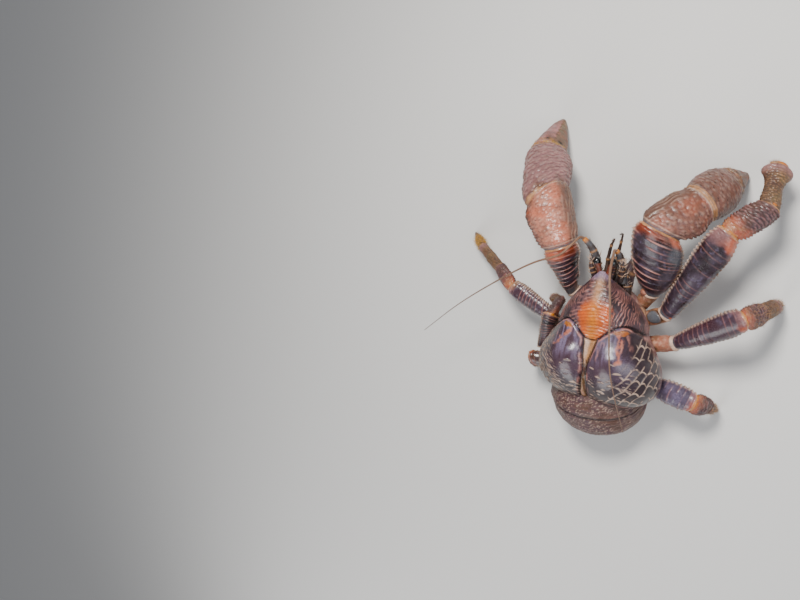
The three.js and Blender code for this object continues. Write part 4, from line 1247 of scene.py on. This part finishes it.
eye("left", -5.5, 84, 107)
eye("right", 5.5, 84, 107)
ANTENNA_BASES = {
    "left": [(-14, 66, 88), (-13, 84, 95), (-18, 100, 103), (-24.4, 108, 110)],
    "right": [(14, 66, 88), (13, 82, 93), (11, 94, 98), (8.6, 98.4, 103)],
}
WHIPS = {
    "left": [
        (-24.6, 108.2, 110.2), (-26.6, 108.8, 113.6), (-31.5, 100.7, 122), (-41, 88.5, 127), (-67.9, 77.4, 128),
        (-110.5, 54.7, 120), (-172.9, 15.9, 106), (-238, -31, 86),
    ],
    "right": [
        (8.5, 98.5, 103.2), (8.4, 98.6, 107), (10.5, 92, 115), (13.5, 80, 125), (16.5, 68.6, 131),
        (22.9, 40.6, 136), (27.8, 5.8, 138), (31.7, -18.5, 137), (36.5, -43.6, 129), (43.6, -84, 106),
    ],
}
ANTENNULES = {
    "left": [(-3.5, 72, 90), (-3, 88, 92), (0, 101, 97), (6, 110, 106), (7, 108, 114)],
    "right": [(3.5, 72, 88), (4, 88, 86), (7, 104, 90), (13, 116, 104), (14, 115, 114)],
}
for side, sign in (("left", -1), ("right", 1)):
    rod(
        f"{side}_antenna_base_shell", ANTENNA_BASES[side], [5, 4.6, 3.6, 2.6],
        stem_skin(931, GREY * 0.7, [0.35, 0.62], AMBER), rugged, "leg_shell", [f"{side}_antenna_base"], 90, 48,
    )
    rod(
        f"{side}_antenna_whip", WHIPS[side], [1.5, 1.3, 1.1, 0.9, 0.7, 0.5, 0.35],
        whip_skin, hairy, "feeler", [f"{side}_antenna"], 900, 10,
    )
    rod(
        f"{side}_antennule_shell", ANTENNULES[side], [2.2, 2, 1.6, 0.9, 0.4],
        stem_skin(941, BROWN * 0.7, [0.3, 0.6], BLACK), rugged, "feeler", [f"{side}_antennule"], 120, 20,
    )
    rod(
        f"{side}_maxilliped_shell",
        [(sign * 9, 54, 58), (sign * 11, 74, 62), (sign * 11, 88, 52), (sign * 8, 86, 34), (sign * 6, 78, 26)],
        [6, 6, 5, 4, 2], stem_skin(951, PLUM, [0.3, 0.55, 0.8], OLIVE), rugged, "leg_shell",
        [f"{side}_maxilliped"], 110, 48,
    )


def face():
    """The spiny scales beside the eyes and the mouth parts behind the feelers."""
    parts = (
        ("scale", [(13, 68, 93), (16, 79, 99), (18, 91, 104)], [3.6, 2.8, 0.4], DARK * 1.6, CREAM),
        ("eye_scale", [(5, 70, 98), (8, 78, 101), (10, 85, 105)], [2.2, 1.7, 0.3], PLUM, CREAM),
        ("basal", [(6, 58, 84), (8, 68, 88), (9, 75, 90)], [6, 5, 3], DARK * 1.4, BROWN),
        ("jaw", [(5, 56, 74), (6, 69, 76), (5, 77, 72)], [7, 6, 3], PLUM, OLIVE),
        ("cheek", [(15, 54, 78), (17, 65, 83), (16, 74, 86)], [6, 5, 2.5], DARK * 1.8, TAN),
        ("inner_mouth_leg", [(3.5, 58, 66), (4.5, 78, 64), (4, 80, 48)], [4, 3.4, 1.2], BROWN, OLIVE),
    )
    for part, points, radii, colour, tip in parts:
        for side, sign in (("left", -1), ("right", 1)):
            place = [(sign * x, y, z) for x, y, z in points]
            skin = stem_skin(971, colour, [0.3, 0.5, 0.7] if part.endswith("scale") else [0.5], tip)
            rod(f"{side}_{part}", place, radii, skin, rugged, "leg_shell", [], 60, 36)


def claw_knob():
    """The pale knob between the right claw's base and the shield."""
    place = [(31.5, 57, 67), (32.7, 60.2, 71), (33.5, 62.5, 74)]
    skin = stem_skin(981, FLESH, [], AMBER)
    rod("right_claw_knob", place, [3.6, 4.4, 1.6], skin, glossy, "joint_skin", [], 30, 32)


face()
claw_knob()


# Joint skins: a soft ring between every two pieces of a limb
def joint_skin(name, a, axis_in, axis_out, flat, wide, thick):
    axis = unit(axis_in + axis_out)
    across = unit(np.cross(axis, flat))
    up = np.cross(across, axis)
    lap = np.linspace(0.05, math.pi - 0.05, 26)[:, None]
    turn = np.linspace(0, 2 * math.pi, 56, endpoint=False)[None, :]
    length = 0.5 * (wide + thick) * 0.55
    p = (
        a
        - axis * (length * np.cos(lap) + 0 * turn)[..., None]
        + across * (wide * 0.9 * np.sin(lap) * np.cos(turn))[..., None]
        + up * (thick * 0.9 * np.sin(lap) * np.sin(turn))[..., None]
    )
    tone = rough_noise(p, 4, 961)
    tint = paint(np.broadcast_to(AMBER, p.shape), 0.5 + 0.7 * tone, SALMON)
    tint = paint(tint, 0.4 * ridge(lap * 5 + 0 * turn, 0.2), UMBER)
    p = p + 0.25 * tone[..., None] * axis
    return facing_out(surface(name, p, tint, 0.5 + 0 * tone))


def joint_skins():
    whole = None
    chains = {}
    for node, (g, _) in grids.items():
        if g.length is not None and not node.endswith("_finger"):
            limb = node.rsplit("_", 1)[0]
            chains.setdefault(limb, []).append(g)
    for limb, parts in chains.items():
        for k, (before, after) in enumerate(zip(parts, parts[1:])):
            ends = before.p[-1].mean(0)
            wide = min(before.wide[-1, 0], after.wide[0, 0])
            piece = joint_skin(
                f"skin_{limb}_{k}", ends, before.axis, after.axis, before.up, wide * 0.97, wide * 0.8
            )
            whole = piece if whole is None else join(whole, piece)
    whole.name = "joint_skins"
    finish_piece(whole, satin, "joint_skin")


joint_skins()


# Bristles and spines
class Coat:
    """Gathers pointed tufts on the pieces' surfaces, with a map that puts each at its root's place."""

    TILES = 7
    PATCH_REACH = 0.0016

    def __init__(self):
        self.verts, self.faces, self.maps, self.tints, self.patches = [], [], [], [], 0

    def grow(self, node, count, length, thick, colour, where, lean=0.9, spread=0.3):
        skin, p = grids[node]
        places = np.argwhere(where(skin))
        if len(places) == 0:
            return
        picked = places[rng.integers(0, len(places), count)]
        r, c = picked[:, 0], picked[:, 1]
        axis = np.broadcast_to(skin.axis, p.shape)[r, c]
        way = unit(skin.out[r, c] + lean * axis + spread * rng.normal(size=(count, 3)))
        root = p[r, c] - 0.3 * way
        long = length * (0.5 + rng.random(count))[:, None]
        tip = root + way * long + 0.15 * axis * long
        tip[:, 2] = np.maximum(tip[:, 2], 0.3)
        side = unit(np.cross(way, rng.normal(size=(count, 3))))
        other = np.cross(way, side)
        tile = self.patches % self.TILES**2
        corner = np.array([tile % self.TILES, tile // self.TILES]) / self.TILES
        place = corner + (0.03 + 0.94 * np.stack([c / p.shape[1], r / p.shape[0]], -1)) / self.TILES
        base = sum(len(v) for v in self.verts)
        ring = []
        for k in range(3):
            turn = 2 * math.pi * k / 3
            ring.append(root + thick * (side * math.cos(turn) + other * math.sin(turn)))
        self.verts.append(np.stack([*ring, tip], 1).reshape(-1, 3))
        start = base + 4 * np.arange(count)
        corners = ((0, 1, 3), (1, 2, 3), (2, 0, 3), (2, 1, 0))
        self.faces.append(np.stack([start[:, None] + np.array(f) for f in corners], 1).reshape(-1, 3))
        spots = self.PATCH_REACH * np.array([[1, 0], [-0.5, 0.87], [-0.5, -0.87], [0, 0]])
        self.maps.append((place[:, None] + spots).reshape(-1, 2))
        shade = 0.7 + 0.6 * rng.random((count, 1, 1))
        self.tints.append((colour * shade * np.ones((1, 4, 1))).reshape(-1, 3))
        self.patches += 1

    def piece(self, name):
        verts, faces = np.concatenate(self.verts), np.concatenate(self.faces)
        maps, tints = np.concatenate(self.maps), np.concatenate(self.tints)
        mesh = bpy.data.meshes.new(name)
        mesh.from_pydata(((verts - ORIGIN) * MM).tolist(), [], faces.tolist())
        uv = mesh.uv_layers.new(name="OFBake")
        uv.data.foreach_set("uv", maps[faces.reshape(-1)].astype(np.float32).ravel())
        colour = mesh.attributes.new("tint", "FLOAT_COLOR", "POINT")
        rgba = np.ones((len(verts), 4), np.float32)
        rgba[:, :3] = tints
        colour.data.foreach_set("color", rgba.ravel())
        dull = mesh.attributes.new("dull", "FLOAT", "POINT")
        dull.data.foreach_set("value", np.full(len(verts), 0.5, np.float32))
        mesh.materials.append(hairy)
        coat = bpy.data.objects.new(name, mesh)
        bpy.context.scene.collection.objects.link(coat)
        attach(coat, "root")
        return coat


def grow_coat():
    coat = Coat()
    straw, rust = TAN * 0.8, BROWN * 1.1
    legs = [(side, leg) for side in ("left", "right") for leg in (2, 3, 4)]
    for side, leg in legs:
        name = f"{side}_leg_{leg}"
        coat.grow(f"{name}_dactyl", 520, 3.2, 0.13, straw, lambda g: (g.t > 0.03) & (g.t < 0.85))
        coat.grow(f"{name}_carpus", 160, 2.4, 0.12, rust, lambda g: (np.abs(g.c) > 0.8) & (g.t > 0.1))
        coat.grow(f"{name}_merus", 140, 2.2, 0.12, straw, lambda g: (np.abs(g.c) > 0.93) & (g.t > 0.1))
        if leg < 4:
            coat.grow(f"{name}_propodus", 360, 2.4, 0.12, rust, lambda g: (g.t > 0.1) & (g.t < 0.95))
    coat.grow("left_leg_2_dactyl", 900, 5.0, 0.15, OCHRE, lambda g: (g.t > 0.03) & (g.t < 0.6), 0.5, 0.4)
    coat.grow("right_leg_3_carpus", 300, 3.6, 0.14, straw, lambda g: g.t > 0.3, 0.5, 0.4)
    for side in ("left", "right"):
        claw = f"{side}_claw"
        fuzz = OCHRE * 0.8 if side == "left" else TAN * 0.6
        coat.grow(f"{claw}_palm", 400, 2.2, 0.14, fuzz, lambda g: g.from_end < 6, 0.6, 0.5)
        coat.grow(f"{claw}_finger", 300, 2.4, 0.14, fuzz, lambda g: (g.s < 7) & (g.t > 0.02), 0.6, 0.5)
        coat.grow(f"{claw}_merus", 200, 2.6, 0.14, straw, lambda g: (np.abs(g.c) > 0.93) & (g.t > 0.1))
        coat.grow(f"{side}_maxilliped_shell", 500, 4.5, 0.14, rust, lambda g: g.t > 0.2, 0.5, 0.4)
        stem = f"{side}_antenna_base_shell"
        coat.grow(stem, 26, 4.5, 0.8, CREAM * 0.8, lambda g: (g.t > 0.1) & (g.t < 0.6), 1.2, 0.2)
        coat.grow(stem, 120, 3.0, 0.16, rust, lambda g: g.t > 0.1, 1.0, 0.3)
        coat.grow(f"{side}_scale", 40, 4.0, 0.6, CREAM * 0.8, lambda g: (g.t > 0.2) & (g.t < 0.9), 1.0, 0.2)
        coat.grow(f"{side}_jaw", 200, 3.5, 0.14, rust, lambda g: g.t > 0.2, 0.6, 0.4)
        coat.grow(f"{side}_cheek", 30, 3.0, 0.5, CREAM * 0.7, lambda g: g.t > 0.3, 0.9, 0.2)
        coat.grow(f"{side}_antennule_shell", 60, 2.0, 0.12, rust, lambda g: g.t > 0.6, 0.5, 0.3)
    coat.piece("bristles")


grow_coat()


# The camera, at the photograph's angle, for a picture of 800 by 600. It looks down on a point near the middle
# of the carapace, tilted to the crab's right and front, and that point is seen at a pixel of the picture.
CAMERA_TILT_RIGHT, CAMERA_TILT_FRONT, CAMERA_ROLL = 20, 8, 8.5
CAMERA_DISTANCE = 640
LOOKED_AT = np.array([10.0, 0.0, 105.0])
SEEN_AT_X, SEEN_AT_Y = 603, 345
PICTURE_WIDE, PICTURE_HIGH = 800, 600
LENS, SENSOR = 26, 36


def place_camera():
    """Turns the camera so that the point looked at and the crab's forward direction are seen as named above."""
    tilt_x, tilt_y, roll = (math.radians(a) for a in (CAMERA_TILT_RIGHT, CAMERA_TILT_FRONT, CAMERA_ROLL))
    away = unit([math.tan(tilt_x), math.tan(tilt_y), 1])
    pixels = LENS / SENSOR * PICTURE_WIDE
    seen = unit([(SEEN_AT_X - PICTURE_WIDE / 2) / pixels, (PICTURE_HIGH / 2 - SEEN_AT_Y) / pixels, -1])
    seen_up = np.array([math.sin(roll), math.cos(roll), 0])
    seen_up = unit(seen_up - seen * (seen @ seen_up))
    forward = np.array([0.0, 1.0, 0.0])
    forward = unit(forward - away * (away @ forward))
    in_camera = np.stack([seen, seen_up, np.cross(seen, seen_up)])
    in_world = np.stack([-away, forward, np.cross(-away, forward)])
    turn = Matrix((in_world.T @ in_camera).tolist()).to_4x4()
    return Matrix.Translation((LOOKED_AT + CAMERA_DISTANCE * away - ORIGIN) * MM) @ turn


lens = bpy.data.cameras.new("camera")
lens.lens = LENS
lens.sensor_width = SENSOR
camera = bpy.data.objects.new("camera", lens)
camera.matrix_world = place_camera()
bpy.context.scene.collection.objects.link(camera)
bpy.context.scene.camera = camera


# Floor and light
def area_light(name, place, aim, size, power, colour=(1, 1, 1)):
    light = bpy.data.lights.new(name, "AREA")
    light.shape = "DISK"
    light.size = size
    light.energy = power
    light.color = colour
    lamp = bpy.data.objects.new(name, light)
    lamp.location = place
    direction = Vector(aim) - Vector(place)
    lamp.rotation_euler = direction.to_track_quat("-Z", "Y").to_euler()
    bpy.context.scene.collection.objects.link(lamp)


FLOOR_REACH = 4
corners = [(-FLOOR_REACH, -FLOOR_REACH, 0), (FLOOR_REACH, -FLOOR_REACH, 0)]
corners += [(FLOOR_REACH, FLOOR_REACH, 0), (-FLOOR_REACH, FLOOR_REACH, 0)]
floor_mesh = bpy.data.meshes.new("floor")
floor_mesh.from_pydata(corners, [], [(0, 1, 2, 3)])
floor = bpy.data.objects.new("floor", floor_mesh)
bpy.context.scene.collection.objects.link(floor)
floor_material = bpy.data.materials.new("floor")
floor_material.use_nodes = True
floor_inputs = floor_material.node_tree.nodes["Principled BSDF"].inputs
floor_inputs["Base Color"].default_value = (0.72, 0.71, 0.69, 1)
floor_inputs["Roughness"].default_value = 0.7
floor_mesh.materials.append(floor_material)

world = bpy.data.worlds.new("studio")
world.use_nodes = True
world.node_tree.nodes["Background"].inputs["Color"].default_value = (0.9, 0.93, 1.0, 1)
world.node_tree.nodes["Background"].inputs["Strength"].default_value = 0.28
bpy.context.scene.world = world
area_light("key", (0.12, 0.42, 0.95), (0, 0, 0.05), 0.26, 13, (1.0, 0.97, 0.93))
area_light("fill", (0.9, -0.3, 0.8), (0, 0, 0.05), 0.9, 5, (0.92, 0.96, 1.0))
area_light("back", (-0.2, -1.0, 0.6), (0, 0, 0.05), 0.7, 5)
